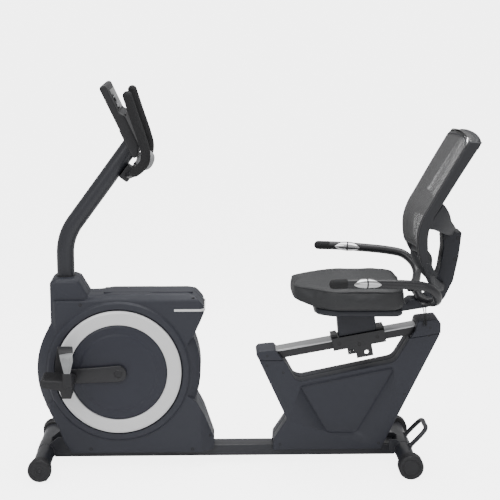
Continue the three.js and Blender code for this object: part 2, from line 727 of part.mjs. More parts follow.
function rearLegs() {
  const foot = BEAM_TOP + GAP;
  const front = outline([[83, 388], [50, 380], [118, 161], [146, foot], [192, foot], [164, 161]]);
  const rear = outline([[604, 480], [556, 466], [366, foot], [424, foot]]);
  return { front, rear };
}

function addRearFrame() {
  const legs = rearLegs();
  const under = -TRACK_THICK - GAP;
  const tube = cut(
    railBlock(-RAIL_HALF, RAIL_HALF, under - 26, under, -30, 30),
    railBlock(-RAIL_HALF - 1, RAIL_HALF + 1, under - 23, under - 3, -27, 27),
  );
  // The legs stop under the rail, where they are welded to it.
  const above = railBlock(-RAIL_HALF - 60, RAIL_HALF + 60, under - 25.5, 60, -60, 60);
  const leg = (shape) => cut(plate(shape, -20, 20), above);
  const frame = join(tube, leg(legs.front), leg(legs.rear));
  const bores = [outline([[79, 420], [58, 420], [122, 161], [150, 60], [188, 60], [160, 161]]),
    outline([[600, 500], [562, 500], [371, 60], [419, 60]])];
  const stop = railBlock(-400, 400, under - 28.5, 60, -60, 60);
  const hollows = bores.map((shape) => cut(plate(shape, -17, 17), stop));
  add("rear_frame", cut(frame, ...hollows), BLACK, PAINT);
  const track = railBlock(-RAIL_HALF, RAIL_HALF, -TRACK_THICK, 0, -TRACK_HALF, TRACK_HALF);
  add("rail_track", track, SILVER, { roughness: 0.3, metalness: 0.9 });
}

function coverSide() {
  return outline([
    [61, 50],
    [64, 92],
    [110, 162],
    [12, 374],
    [97, 374],
    [112, 352],
    [137, 306, 20],
    [162, 299, 20],
    [484, 366, 40],
    [534, 450],
    [641, 468],
    [497, 170],
    [440, 50],
  ]);
}

function panelSide(grow) {
  return outline([
    [153 - grow, 279 + grow],
    [489 + grow, 348 + grow],
    [353 + grow, 110 - grow, 24],
    [248 - grow, 112 - grow, 24],
  ]);
}

function addCovers() {
  const wall = 3;
  const depth = 3;
  const shape = coverSide();
  const outer = softPlate(shape, -COVER_HALF, COVER_HALF, 4, 0, 1);
  const inner = softPlate(shape, -COVER_HALF + wall, COVER_HALF - wall, 4, -wall, 1);
  const panel = (grow, from) => {
    const left = plate(panelSide(grow), -COVER_HALF - 5, -from);
    return join(left, mirrored(left));
  };
  const beamRoom = box(0, 600, -BEAM_HALF - GAP, BEAM_HALF + GAP, 40, BEAM_TOP + GAP);
  const cheekRoom = box(466, 600, -46, 46, 40, 84);
  const railRoom = railBlock(-400, 400, -36, 20, -TRACK_HALF - GAP, TRACK_HALF + GAP);
  const legRooms = legOpenings();
  const openFoot = box(70, 430, -COVER_HALF + wall, COVER_HALF - wall, 40, 56);
  const kept = cut(inner, panel(wall, COVER_HALF - depth - wall));
  const rooms = [beamRoom, cheekRoom, railRoom, openFoot, ...legRooms];
  const shell = cut(outer, panel(0, COVER_HALF - depth), kept, ...rooms);
  const half = box(-20, 700, -80, -GAP / 2, 0, 600);
  pair("rear_cover", shell.intersect(half), CHARCOAL, PLASTIC);

  // A cap closes each end of the rail on top of the covers.
  const frontCap = outline([[13, 374.4], [98, 374.4], [66, 412], [12, 407], [1, 396]]);
  const rearCap = outline([[536, 450.8], [641, 468.4], [641, 503], [630, 517], [560, 510], [553, 478]]);
  for (const [name, side] of [["front", frontCap], ["rear", rearCap]]) {
    const cap = softPlate(side, -57, 57, 3, 0, 1);
    add(name + "_rail_cap", cut(cap, railRoomFor(name), ...legRooms), CHARCOAL, PLASTIC);
  }
}

// Where the steel legs come up through the covers and caps to the rail.
function legOpenings() {
  return [box(40, 92, -21, 21, 362, 392), box(540, 612, -21, 21, 440, 482)];
}

// The hollow in a rail cap that takes the end of the rail.
function railRoomFor(end) {
  const past = RAIL_HALF + 1;
  const [s0, s1] = end === "front" ? [-past, 0] : [0, past];
  return railBlock(s0, s1, -TRACK_THICK - 27, GAP, -TRACK_HALF - GAP, TRACK_HALF + GAP);
}

// ---------- seat ----------

function addCarriage() {
  const s0 = CARRIAGE_AT - CARRIAGE_HALF;
  const s1 = CARRIAGE_AT + CARRIAGE_HALF;
  const plateIn = TRACK_HALF + 3;
  const plateOut = plateIn + 4;
  const top = railBlock(s0, s1, 1.5, 5.5, -plateOut, plateOut);
  const cheek = railBlock(s0, s1, -38, 5.5, -plateOut, -plateIn);
  const hanger = railBlock(22, 80, -78, -36, -plateOut, -plateIn);
  const lug = railBlock(-6, 23, -60, -36, -plateOut, -plateIn);
  const hole = barrel(...railPoint(58, -62), 7, -60, 60, 20);
  const [px, pz] = leverPivot();
  const pivotRoom = barrel(px, pz, 6.4, -80, 80, 24);
  // Wiper blocks ride on the track at both ends.
  const wiper = (a, b) => railBlock(a, b, 1, 16, -30, 30);
  const sides = join(cheek, hanger, lug);
  const ends = join(wiper(s0, s0 + 22), wiper(s1 - 26, s1));
  add("seat_carriage", cut(join(top, sides, mirrored(sides), ends), hole, pivotRoom), BLACK, PAINT);
  const paddleSide = outline([railPoint(-2, -42), railPoint(66, -46), railPoint(66, -55), railPoint(-2, -55)]);
  const lever = join(barrel(px, pz, 6, -44, 52, 24), plate(paddleSide, 46, 110));
  add("seat_lock_lever", lever, BLACK, PLASTIC);
}

function leverPivot() {
  return railPoint(8, -49);
}

function addSeatFrame() {
  // A hollow post, two long cheeks under the cushion, and the upright that carries the backrest.
  const [bx0, bz0] = railPoint(CARRIAGE_AT - 66, 6);
  const [bx1, bz1] = railPoint(CARRIAGE_AT + 66, 6);
  const post = outline([[bx0, bz0], [bx1, bz1], [409, 569], [279, 569]]);
  const postRoom = outline([[bx0 + 3, bz0 - 9], [bx1 - 3, bz1 - 9], [406, 563], [282, 563]]);
  const spine = [
    [203, 540],
    [203, 571],
    [520, 571],
    [536, 584, 10],
    [584, 584, 10],
    [606, 612, 10],
    [634, 690, 20],
    [644, 765, 20],
    [641, 820],
    [708, 820],
    [699, 735, 30],
    [682, 650, 30],
    [650, 582, 30],
    [596, 556, 30],
    [500, 541, 20],
  ];
  const coarse = { curveSegments: 4 };
  const whole = plate(outline(spine), -FRAME_HALF, FRAME_HALF, coarse);
  const room = plate(outline(spine), -FRAME_HALF + 3, FRAME_HALF - 3, coarse).translate([5, 0, -5]);
  const postShell = cut(plate(post, -34, 34), plate(postRoom, -31, 31));
  const made = join(cut(whole, room), postShell);
  add("seat_frame", made, CHARCOAL, PAINT);
}

function addCushion() {
  // Seen from above the cushion is broad at the back and narrows to a nose.
  const plan = outline([
    [SEAT_FRONT, -95, 60],
    [SEAT_FRONT, 95, 60],
    [255, SEAT_HALF, 90],
    [SEAT_REAR - 16, SEAT_HALF, 60],
    [SEAT_REAR, 60, 60],
    [SEAT_REAR, -60, 60],
    [SEAT_REAR - 16, -SEAT_HALF, 60],
    [255, -SEAT_HALF, 90],
  ]);
  const g = new THREE.ExtrudeGeometry(plan, {
    depth: SEAT_TOP - SEAT_BOTTOM - 20,
    bevelEnabled: true,
    bevelThickness: 10,
    bevelSize: 10,
    bevelOffset: -10,
    bevelSegments: 2,
    curveSegments: 6,
  });
  const slab = solid(g.translate(0, 0, SEAT_BOTTOM + 10));
  // The nose is thinner: its underside rises towards the front.
  const under = outline([[100, 540], [100, 606], [SEAT_FRONT + 20, 592], [212, SEAT_BOTTOM - 1], [212, 540]]);
  add("seat_cushion", cut(slab, plate(under, -250, 250)), 0x3a3b3f, { roughness: 0.7, metalness: 0 });
}

function sideBarPoints() {
  return [
    [244, -345, 706],
    [320, -333, 705],
    [500, -303, 690],
    [556, -285, 674],
    [592, -262, 648],
    [600, -235, 622],
    [592, -190, 606],
    [574, -140, 600],
    [566, -80, 599],
    [566, 0, 599],
  ];
}

function addSideHandlebar() {
  const left = sideBarPoints();
  const right = left.slice(0, -1).map(([x, y, z]) => [x, -y, z]);
  add("side_handlebar", bar([...left, ...right.toReversed()], SIDE_BAR_R, 36, 4), BLACK, PAINT);
  const straight = new THREE.CatmullRomCurve3(left.map((p) => new THREE.Vector3(...p)), false, "centripetal");
  const stretch = (u0, u1, radius, sides) => {
    const points = [];
    for (let i = 0; i <= 4; i++) points.push(straight.getPointAt(u0 + ((u1 - u0) * i) / 4));
    return along(new THREE.CatmullRomCurve3(points, false, "centripetal"), radius, 3, sides);
  };
  const room = bar([[214, -350, 706], ...left], SIDE_BAR_R + 0.9, 22, 4);
  const padFrom = 0.085;
  const padTo = 0.245;
  const foam = cut(stretch(0, padFrom, GRIP_R, 6), room);
  const tip = solid(new THREE.SphereGeometry(GRIP_R - 0.3, 12, 6).translate(240, -345.6, 706));
  const tipRoom = solid(new THREE.SphereGeometry(SIDE_BAR_R + 0.9, 10, 6).translate(246, -344.7, 706));
  const hollowTip = cut(tip, tipRoom, stretch(0, 0.05, SIDE_BAR_R + 0.7, 6));
  pair("side_grip", join(foam, hollowTip), BLACK, { roughness: 0.9, metalness: 0 });
  // The pulse sensor is a spindle-shaped shell around the bar.
  const start = straight.getPointAt(padFrom + 0.003);
  const end = straight.getPointAt(padTo);
  const length = start.distanceTo(end);
  const points = [new THREE.Vector2(SIDE_BAR_R + 1.4, 0)];
  for (let i = 0; i <= 8; i++) {
    const t = i / 8;
    points.push(new THREE.Vector2(14.6 + 4 * Math.sin(Math.PI * t), length * t));
  }
  points.push(new THREE.Vector2(SIDE_BAR_R + 1.4, length));
  points.push(points[0].clone());
  const direction = end.clone().sub(start).normalize();
  const turn = new THREE.Quaternion().setFromUnitVectors(new THREE.Vector3(0, 1, 0), direction);
  const place = new THREE.Matrix4().compose(start, turn, new THREE.Vector3(1, 1, 1));
  const shell = solid(new THREE.LatheGeometry(points, 14).applyMatrix4(place));
  pair("pulse_sensor", cut(shell, room), SILVER, { roughness: 0.2, metalness: 1 });
}

// ---------- backrest ----------

// The side rail's front edge, from the bottom up.
const BACK_FRONT = [
  [573, 700],
  [553, 732],
  [541, 765],
  [536, 800],
  [537, 845],
  [552, 893],
  [578, 940],
  [634, 1040],
  [690, 1135],
  [708, 1164],
];

function backFront(z) {
  const i = Math.max(1, BACK_FRONT.findIndex((p) => p[1] >= z));
  const [x0, z0] = BACK_FRONT[i - 1];
  const [x1, z1] = BACK_FRONT[i];
  return x0 + ((x1 - x0) * (z - z0)) / (z1 - z0);
}

function addBackrest() {
  const behind = BACK_FRONT.map(([x, z]) => [x + 34 + 10 * Math.max(0, (z - 900) / 264), z - 4]).toReversed();
  const rail = softPlate(outline([...BACK_FRONT, ...behind]), -BACK_HALF, -BACK_HALF + BACK_RAIL, 5, 0, 1);
  const topBar = bar([
    [712, -174, 1138],
    [738, -158, 1160],
    [752, -110, 1168],
    [759.01, 0, 1172],
    [752, 110, 1168],
    [738, 158, 1160],
    [712, 174, 1138],
  ], 15.5, 12, 5);
  const low = [[566, -172, 732], [590, -100, 732], [598, 0, 732], [590, 100, 732], [566, 172, 732]];
  const lowBar = bar(low, 11, 8, 4);
  // Two legs sweep in from the side rails to the foot of the upright.
  const leg = bar([
    [574, -174, 745],
    [577, -165, 705],
    [600, -120, 664],
    [628, -76, 638],
    [640, -FRAME_HALF - 9, 634],
  ], 17, 8, 5);
  // A lumbar wing arches from rail to rail behind the mesh, over the upright's top.
  const wing = new THREE.Shape();
  wing.moveTo(566, -170);
  wing.bezierCurveTo(640, -150, 694, -90, 694, 0);
  wing.bezierCurveTo(694, 90, 640, 150, 566, 170);
  wing.lineTo(578, 174);
  wing.bezierCurveTo(652, 160, 706, 100, 706, 0);
  wing.bezierCurveTo(706, -100, 652, -160, 578, -174);
  wing.closePath();
  const wingSolid = solid(
    new THREE.ExtrudeGeometry(wing, { depth: 92, bevelEnabled: false, curveSegments: 6 }).translate(0, 0, 823),
  );
  const frame = join(rail, mirrored(rail), topBar, lowBar, leg, mirrored(leg), wingSolid);
  const postRoom = box(600, 720, -FRAME_HALF - GAP, FRAME_HALF + GAP, 500, 821);
  add("backrest_frame", cut(frame, postRoom), BLACK, PLASTIC);

  // The mesh is a thin sheet between the side rails, hollowed towards its middle.
  const half = BACK_HALF - BACK_RAIL - 0.6;
  const bottom = 756;
  const top = 1136;
  const g = new THREE.BoxGeometry(3, 2 * half, top - bottom, 1, 8, 8);
  const at = g.attributes.position;
  for (let i = 0; i < at.count; i++) {
    const y = at.getY(i);
    const z = at.getZ(i) + (bottom + top) / 2;
    const hollow = (22 + 14 * ((z - bottom) / (top - bottom))) * (1 - (y / half) ** 2);
    at.setXYZ(i, backFront(z) + 9 + hollow + at.getX(i), y, z);
  }
  add("backrest_mesh", solid(g), 0x5f5f61, { roughness: 0.9, metalness: 0 });
}

// ---------- pulse sensor wires ----------

// Each wire drops from the side handlebar's middle to the rear rail cap and over its near side.
function wirePoints(offset) {
  return [
    [578 + offset, -50, 583],
    [581 + offset, -54, 566],
    [584 + offset * 0.6, -59, 540],
    [585 + offset * 0.6, -61, 515],
    [584 + offset, -61, 495],
  ];
}

function addWires() {
  for (const [name, offset] of [["front", -5], ["rear", 5]]) {
    add(name + "_sensor_wire", bar(wirePoints(offset), 1.8, 20, 4), 0x101010, { roughness: 0.5, metalness: 0 });
  }
}

addBase();
addDriveFrame();
addDrive();
addResistance();
addCranks();
addPedals();
addShroud();
addMast();
addConsole();
addFrontHandlebar();
addRearFrame();
addCovers();
addCarriage();
addSeatFrame();
addCushion();
addSideHandlebar();
addBackrest();
addWires();
bike.name = "exercise_bike";

export default bike;
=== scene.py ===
"""A recumbent exercise bike: its finished surfaces, materials, studio and camera.

Lengths are in millimetres until a mesh is made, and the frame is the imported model's own:
+X to the rear, +Y to the rider's right, +Z up, with the origin on the floor.
"""

import json
import logging
import math
from dataclasses import dataclass, field
from enum import Enum
from typing import Any, Sequence

import bmesh
import bpy
import numpy as np
from mathutils import Matrix, Vector


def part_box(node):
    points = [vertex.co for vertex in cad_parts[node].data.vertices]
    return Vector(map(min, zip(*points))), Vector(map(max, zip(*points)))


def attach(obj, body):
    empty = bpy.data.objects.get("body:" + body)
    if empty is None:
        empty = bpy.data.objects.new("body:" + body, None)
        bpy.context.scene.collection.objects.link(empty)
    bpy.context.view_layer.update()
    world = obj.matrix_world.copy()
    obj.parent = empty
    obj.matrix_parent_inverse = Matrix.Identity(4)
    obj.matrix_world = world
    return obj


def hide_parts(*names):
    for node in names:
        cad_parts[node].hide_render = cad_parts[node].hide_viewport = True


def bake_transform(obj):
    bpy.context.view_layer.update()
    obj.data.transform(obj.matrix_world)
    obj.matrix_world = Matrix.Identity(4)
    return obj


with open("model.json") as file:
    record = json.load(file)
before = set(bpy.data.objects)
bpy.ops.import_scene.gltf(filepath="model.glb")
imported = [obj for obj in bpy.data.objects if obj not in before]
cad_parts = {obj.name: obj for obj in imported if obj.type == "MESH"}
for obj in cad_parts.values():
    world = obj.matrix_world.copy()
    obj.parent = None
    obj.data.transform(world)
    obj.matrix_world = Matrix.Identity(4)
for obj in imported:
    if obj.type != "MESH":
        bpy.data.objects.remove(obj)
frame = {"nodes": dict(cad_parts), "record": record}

log = logging.getLogger("exercise_bike")

MM = 0.001
Array = np.ndarray
Point = tuple[float, float, float]

# Driving dimensions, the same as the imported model's.
FRONT_X = -734.0
REAR_X = 521.0
FOOT_R = 43.0
TUBE_R = 30.0
CRANK = (-471.5, 347.0)
CRANK_LENGTH = 165.0
CRANK_DROP = math.radians(3.0)
SHROUD_HALF = 85.0
MAST_X = -653.0
MAST_LEAN = math.radians(36.5)
MAST_ELBOW_Z = 806.0
CONSOLE_TOP = (-514.0, 1313.0)
CONSOLE_LEAN = math.radians(24.7)
ARM_Y = 140.0
RAIL = (318.0, 450.0)
RAIL_SLOPE = math.radians(10.3)
RAIL_HALF = 290.0
COVER_HALF = 55.0
PEDAL = (
    CRANK[0] - CRANK_LENGTH * math.cos(CRANK_DROP),
    CRANK[1] - CRANK_LENGTH * math.sin(CRANK_DROP),
)


# ---------- shader graphs ----------


class Signal:
    """One shader value, with arithmetic that adds Math nodes."""

    def __init__(self, graph: "Graph", socket: Any) -> None:
        """Wraps a socket of a graph."""
        self.graph = graph
        self.socket = socket

    def _math(self, operation: str, first: Any, second: Any) -> "Signal":
        """One Math node on two values."""
        node = self.graph.node("ShaderNodeMath", {"operation": operation}, {0: first, 1: second})
        return Signal(self.graph, node.outputs[0])

    def __add__(self, other: Any) -> "Signal":
        """Sum."""
        return self._math("ADD", self, other)

    __radd__ = __add__

    def __mul__(self, other: Any) -> "Signal":
        """Product."""
        return self._math("MULTIPLY", self, other)

    __rmul__ = __mul__

    def __sub__(self, other: Any) -> "Signal":
        """Difference."""
        return self._math("SUBTRACT", self, other)

    def __rsub__(self, other: Any) -> "Signal":
        """Difference from a number."""
        return self._math("SUBTRACT", other, self)

    def __pow__(self, other: Any) -> "Signal":
        """Power."""
        return self._math("POWER", self, other)

    def over(self, edge: float, width: float) -> "Signal":
        """Rises from 0 to 1 as the value passes an edge.

        Args:
            edge: The middle of the rise.
            width: How wide the rise is.

        Returns:
            The clamped ramp.
        """
        node = self.graph.node(
            "ShaderNodeMapRange",
            {"clamp": True},
            {0: self, 1: edge - width / 2, 2: edge + width / 2, 3: 0.0, 4: 1.0},
        )
        return Signal(self.graph, node.outputs[0])

    def sine(self) -> "Signal":
        """The sine of the value."""
        return self._math("SINE", self, 0.0)

    def root(self) -> "Signal":
        """The square root of the value."""
        return self._math("SQRT", self, 0.0)


class Graph:
    """A material's node tree, built with one generic node method."""

    def __init__(self, name: str) -> None:
        """Starts a material with an empty tree.

        Args:
            name: The material's name.
        """
        self.material = bpy.data.materials.new(name)
        self.material.use_nodes = True
        self.tree = self.material.node_tree
        self.tree.nodes.clear()

    def node(self, kind: str, settings: dict[str, Any], inputs: dict[Any, Any]) -> Any:
        """Adds a node.

        Args:
            kind: The node's type.
            settings: Properties set before the sockets.
            inputs: Socket name or number to a value, a Signal or a socket.

        Returns:
            The node.
        """
        made = self.tree.nodes.new(kind)
        for key, value in settings.items():
            setattr(made, key, value)
        for key, value in inputs.items():
            if isinstance(value, Signal):
                value = value.socket
            if isinstance(value, bpy.types.NodeSocket):
                self.tree.links.new(value, made.inputs[key])
            else:
                made.inputs[key].default_value = value
        return made

    def place(self) -> Any:
        """The socket of the object coordinates, in metres."""
        return self.node("ShaderNodeTexCoord", {}, {}).outputs["Object"]

    def axes(self) -> tuple[Signal, Signal, Signal]:
        """The three object coordinates as values."""
        split = self.node("ShaderNodeSeparateXYZ", {}, {0: self.place()})
        return tuple(Signal(self, split.outputs[i]) for i in range(3))

    def stretched(self, scale: Point) -> Any:
        """The object coordinates, scaled along each axis.

        Args:
            scale: The factor along each axis.

        Returns:
            The scaled vector's socket.
        """
        sockets = {"Vector": self.place(), "Scale": scale}
        return self.node("ShaderNodeMapping", {"vector_type": "POINT"}, sockets).outputs[0]

    def noise(self, scale: float, detail: float = 3.0, vector: Any = None) -> Signal:
        """Fractal noise.

        Args:
            scale: Cells per metre of the coordinates.
            detail: Octaves.
            vector: The coordinates, or None for the object's.

        Returns:
            A value from 0 to 1.
        """
        where = vector if vector is not None else self.place()
        made = self.node(
            "ShaderNodeTexNoise",
            {"noise_dimensions": "3D"},
            {"Vector": where, "Scale": scale, "Detail": detail, "Roughness": 0.55},
        )
        return Signal(self, made.outputs[0])

    def cells(self, scale: float, feature: str = "F1") -> Signal:
        """Distances in a field of cells.

        Args:
            scale: Cells per metre.
            feature: The distance that is measured.

        Returns:
            The distance.
        """
        made = self.node(
            "ShaderNodeTexVoronoi", {"feature": feature}, {"Vector": self.place(), "Scale": scale}
        )
        return Signal(self, made.outputs["Distance"])

    def tint(self, factor: Signal, low: Sequence[float], high: Sequence[float]) -> Any:
        """A colour between two colours.

        Args:
            factor: 0 for the first, 1 for the second.
            low: The first colour, linear.
            high: The second colour, linear.

        Returns:
            The colour's socket.
        """
        made = self.node(
            "ShaderNodeMix",
            {"data_type": "RGBA"},
            {"Factor": factor, 6: (*low, 1.0), 7: (*high, 1.0)},
        )
        return made.outputs[2]


def linear(red: float, green: float, blue: float) -> tuple[float, float, float]:
    """Turns display values from 0 to 255 into linear ones.

    Args:
        red: Red as displayed.
        green: Green as displayed.
        blue: Blue as displayed.

    Returns:
        The linear colour.
    """
    shown = np.array([red, green, blue]) / 255.0
    return tuple(np.where(shown <= 0.04045, shown / 12.92, ((shown + 0.055) / 1.055) ** 2.4).tolist())


class Pattern(Enum):
    """What a finish shows at close range."""

    GRAIN = "spark-eroded plastic"
    PEEL = "powder coat"
    BRUSHED = "straight brushing"
    TURNED = "fine rings about the crank axis"
    FOAM = "closed-cell foam"
    HIDE = "leatherette pebble"
    WEAVE = "open mesh"
    CAST = "sand casting"
    POLISH = "polish"
    RIBBED = "ribbed rubber"


@dataclass(frozen=True)
class Finish:
    """A surface finish.

    Attributes:
        label: The material's name.
        slot: The record's material slot.
        colour: Displayed colour, 0 to 255.
        rough: Mean roughness.
        pattern: The close-range pattern.
        metal: Metallic share.
        coat: Clear coat weight.
        depth: Bump distance in metres.
        drift: How far the tone drifts over the surface.
        size: Pattern cells per metre.
    """

    label: str
    slot: str
    colour: tuple[float, float, float]
    rough: float
    pattern: Pattern
    metal: float = 0.0
    coat: float = 0.0
    depth: float = 0.00012
    drift: float = 0.12
    size: float = 900.0

    def _height(self, graph: Graph) -> tuple[Signal, Signal]:
        """The pattern's height and its darkening, both from 0 to 1.

        Args:
            graph: The graph that the nodes go into.

        Returns:
            Height and tone.
        """
        size = self.size
        if self.pattern is Pattern.GRAIN:
            height = graph.noise(size, 4.0) * 0.6 + graph.cells(size * 0.7) * 0.5
            return height, graph.noise(size * 0.6, 2.0)
        if self.pattern is Pattern.PEEL:
            return graph.noise(size, 2.0), graph.noise(size * 1.8, 2.0)
        if self.pattern is Pattern.BRUSHED:
            lines = graph.noise(1.0, 3.0, graph.stretched((25.0, size * 3, size * 3)))
            return lines, lines
        if self.pattern is Pattern.TURNED:
            x, _, z = graph.axes()
            across = x - CRANK[0] * MM
            up = z - CRANK[1] * MM
            radius = (across * across + up * up).root()
            sockets = {0: radius * 1600.0, 1: across * 14.0, 2: up * 14.0}
            circles = graph.node("ShaderNodeCombineXYZ", {}, sockets)
            lines = graph.noise(1.0, 2.0, circles.outputs[0])
            return lines, lines
        if self.pattern is Pattern.FOAM:
            pores = graph.cells(size)
            return pores, pores
        if self.pattern is Pattern.HIDE:
            pebble = graph.cells(size, "DISTANCE_TO_EDGE").over(0.12, 0.24)
            return pebble * 0.8 + graph.noise(size * 3, 3.0) * 0.3, pebble
        if self.pattern is Pattern.CAST:
            return graph.noise(size * 0.5, 5.0), graph.noise(size, 3.0)
        if self.pattern is Pattern.RIBBED:
            x, _, z = graph.axes()
            rib = ((x + z) * size).sine() * 0.5 + 0.5
            return rib, rib
        return graph.noise(size * 0.2, 2.0), graph.noise(3.0, 1.0)

    def build(self) -> bpy.types.Material:
        """Builds the material.

        Returns:
            The finished material.
        """
        graph = Graph(self.label)
        height, tone = self._height(graph)
        base = np.array(linear(*self.colour))
        cloud = graph.noise(5.0, 3.0)
        blend = tone * 0.45 + cloud * 0.55
        colour = graph.tint(blend, base * (1 - self.drift), np.minimum(base * (1 + self.drift), 1.0))
        scuffs = graph.noise(38.0, 5.0).over(0.62, 0.14)
        rough = height * 0.08 + scuffs * 0.05 + (self.rough - 0.045)
        relief = {"Strength": 0.55, "Distance": self.depth, "Height": height}
        bump = graph.node("ShaderNodeBump", {}, relief)
        shader = graph.node(
            "ShaderNodeBsdfPrincipled",
            {},
            {
                "Base Color": colour,
                "Roughness": rough,
                "Metallic": self.metal,
                "Coat Weight": self.coat,
                "Normal": bump.outputs[0],
            },
        )
        if self.pattern is Pattern.WEAVE:
            self._open_weave(graph, shader)
        graph.node("ShaderNodeOutputMaterial", {}, {"Surface": shader.outputs[0]})
        return graph.material

    def _open_weave(self, graph: Graph, shader: Any) -> None:
        """Opens holes between threads: threads lie where the sines along Y and Z are high.

        Args:
            graph: The graph that the nodes go into.
            shader: The surface shader.
        """
        _, y, z = graph.axes()
        pitch = 2 * math.pi * self.size
        across = (y * pitch).sine()
        up = (z * (pitch * 0.8) + (y * (pitch / 2)).sine() * 0.8).sine()
        hole = (across * up).over(0.42, 0.2)
        graph.tree.links.new((1.0 - hole * 0.72).socket, shader.inputs["Alpha"])


@dataclass(frozen=True)
class ClearPlastic:
    """A smoky, see-through moulded plastic.

    Attributes:
        label: The material's name.
        slot: The record's material slot.
        colour: Displayed colour, 0 to 255.
        cover: How much it hides, from 0 to 1.
    """

    label: str
    slot: str
    colour: tuple[float, float, float]
    cover: float

    def build(self) -> bpy.types.Material:
        """Builds the material.

        Returns:
            The finished material.
        """
        graph = Graph(self.label)
        base = np.array(linear(*self.colour))
        cloud = graph.noise(30.0, 3.0)
        bump = graph.node(
            "ShaderNodeBump", {}, {"Strength": 0.4, "Distance": 0.0004, "Height": graph.noise(90.0, 2.0)}
        )
        shader = graph.node(
            "ShaderNodeBsdfPrincipled",
            {},
            {
                "Base Color": graph.tint(cloud, base * 0.85, np.minimum(base * 1.15, 1.0)),
                "Roughness": cloud * 0.1 + 0.17,
                "Alpha": cloud * 0.2 + (self.cover - 0.1),
                "Normal": bump.outputs[0],
            },
        )
        graph.node("ShaderNodeOutputMaterial", {}, {"Surface": shader.outputs[0]})
        return graph.material


class Finishes:
    """Every finish of the bike, made once and handed out."""

    table = {
        finish.slot: finish
        for finish in (
            Finish("satin_frame_paint", "frame_paint", (46, 47, 53), 0.4, Pattern.PEEL, coat=0.15, size=420),
            Finish("satin_black_paint", "black_paint", (34, 34, 38), 0.38, Pattern.PEEL, coat=0.2, size=420),
            Finish("charcoal_paint", "seat_paint", (38, 40, 48), 0.45, Pattern.PEEL, size=420),
            Finish("charcoal_cover", "cover_plastic", (50, 52, 61), 0.52, Pattern.GRAIN),
            Finish("black_moulding", "black_plastic", (38, 38, 41), 0.5, Pattern.GRAIN),
            Finish("disc_moulding", "disc_plastic", (44, 46, 57), 0.46, Pattern.GRAIN, size=1100),
            Finish(
                "silver_ring", "ring_silver", (246, 246, 247), 0.36, Pattern.TURNED, 0.1, depth=3e-5, drift=0.04
            ),
            Finish("turned_alloy", "drive_alloy", (188, 188, 190), 0.3, Pattern.TURNED, metal=1.0),
            Finish("cast_iron", "flywheel_iron", (120, 120, 124), 0.5, Pattern.CAST, metal=0.9, size=300),
            Finish("zinc_steel", "bracket_steel", (165, 166, 170), 0.35, Pattern.BRUSHED, metal=1.0),
            Finish("belt", "belt_rubber", (30, 30, 31), 0.75, Pattern.RIBBED, size=1800),
            Finish("white_strip", "light_strip", (236, 237, 238), 0.25, Pattern.POLISH, coat=0.4, drift=0.02),
            Finish("display_window", "screen", (22, 26, 30), 0.12, Pattern.POLISH, coat=0.6, depth=2e-5),
            Finish("soft_keys", "key_plastic", (96, 97, 100), 0.55, Pattern.GRAIN, size=1400),
            Finish("foam_sleeve", "grip_foam", (34, 34, 36), 0.82, Pattern.FOAM, depth=0.0005, size=520),
            Finish("grey_moulding", "cover_grey", (160, 161, 163), 0.45, Pattern.GRAIN, drift=0.06),
            Finish("brushed_track", "track_alloy", (205, 206, 208), 0.3, Pattern.BRUSHED, 0.9, drift=0.06),
            Finish("leatherette", "cushion", (50, 51, 53), 0.5, Pattern.HIDE, depth=5e-4, drift=0.18, size=300),
            Finish("back_moulding", "back_plastic", (46, 47, 51), 0.48, Pattern.GRAIN),
            Finish("mesh_cloth", "mesh_fabric", (90, 90, 91), 0.75, Pattern.WEAVE, depth=0.0002, size=330),
            Finish("polished_steel", "sensor_metal", (222, 222, 224), 0.12, Pattern.POLISH, 1.0, drift=0.03),
            Finish("wire_jacket", "wire_rubber", (24, 24, 25), 0.45, Pattern.POLISH),
            ClearPlastic("smoky_strap", "strap_plastic", (176, 178, 180), 0.72),
        )
    }

    def __init__(self) -> None:
        """Builds every material."""
        self.made = {slot: finish.build() for slot, finish in self.table.items()}

    def dress(self, piece: bpy.types.Object, slot: str) -> None:
        """Puts a finish on a new piece.

        Args:
            piece: The piece.
            slot: The record's material slot.
        """
        piece.data.materials.clear()
        piece.data.materials.append(self.made[slot])

    def dress_nodes(self) -> None:
        """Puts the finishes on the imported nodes, through their material slots."""
        for part in frame["record"]["subparts"]:
            node = frame["nodes"][part["node"]]
            for place in node.material_slots:
                place.material = self.made[part["material_slot"]]


# ---------- surfaces ----------


def fillet(points: Sequence[Sequence[float]], closed: bool = True, steps: int = 6) -> Array:
    """Rounds the corners of a line: each corner becomes a quadratic arc that starts and ends at the
    corner's tangent length, radius times the tangent of half the turn.

    Args:
        points: Corners as (u, v) or (u, v, radius).
        closed: Whether the last corner joins the first.
        steps: Points on each arc.

    Returns:
        The rounded line, one row a point.
    """
    corners = np.array([p[:2] for p in points], float)
    radii = np.array([p[2] if len(p) > 2 else 0.0 for p in points], float)
    back = np.roll(corners, 1, axis=0) - corners
    ahead = np.roll(corners, -1, axis=0) - corners
    back_length = np.linalg.norm(back, axis=1)
    ahead_length = np.linalg.norm(ahead, axis=1)
    back /= np.maximum(back_length, 1e-9)[:, None]
    ahead /= np.maximum(ahead_length, 1e-9)[:, None]
    turn = math.pi - np.arccos(np.clip((back * ahead).sum(1), -1, 1))
    reach = np.minimum(radii * np.tan(turn / 2), 0.49 * np.minimum(back_length, ahead_length))
    if not closed:
        reach[[0, -1]] = 0.0
    t = np.linspace(0, 1, steps)[None, :, None]
    start = (corners + back * reach[:, None])[:, None]
    end = (corners + ahead * reach[:, None])[:, None]
    arcs = (1 - t) ** 2 * start + 2 * t * (1 - t) * corners[:, None] + t**2 * end
    kept = [arc if r > 1e-6 else arc[:1] for arc, r in zip(arcs, reach)]
    return np.concatenate(kept)


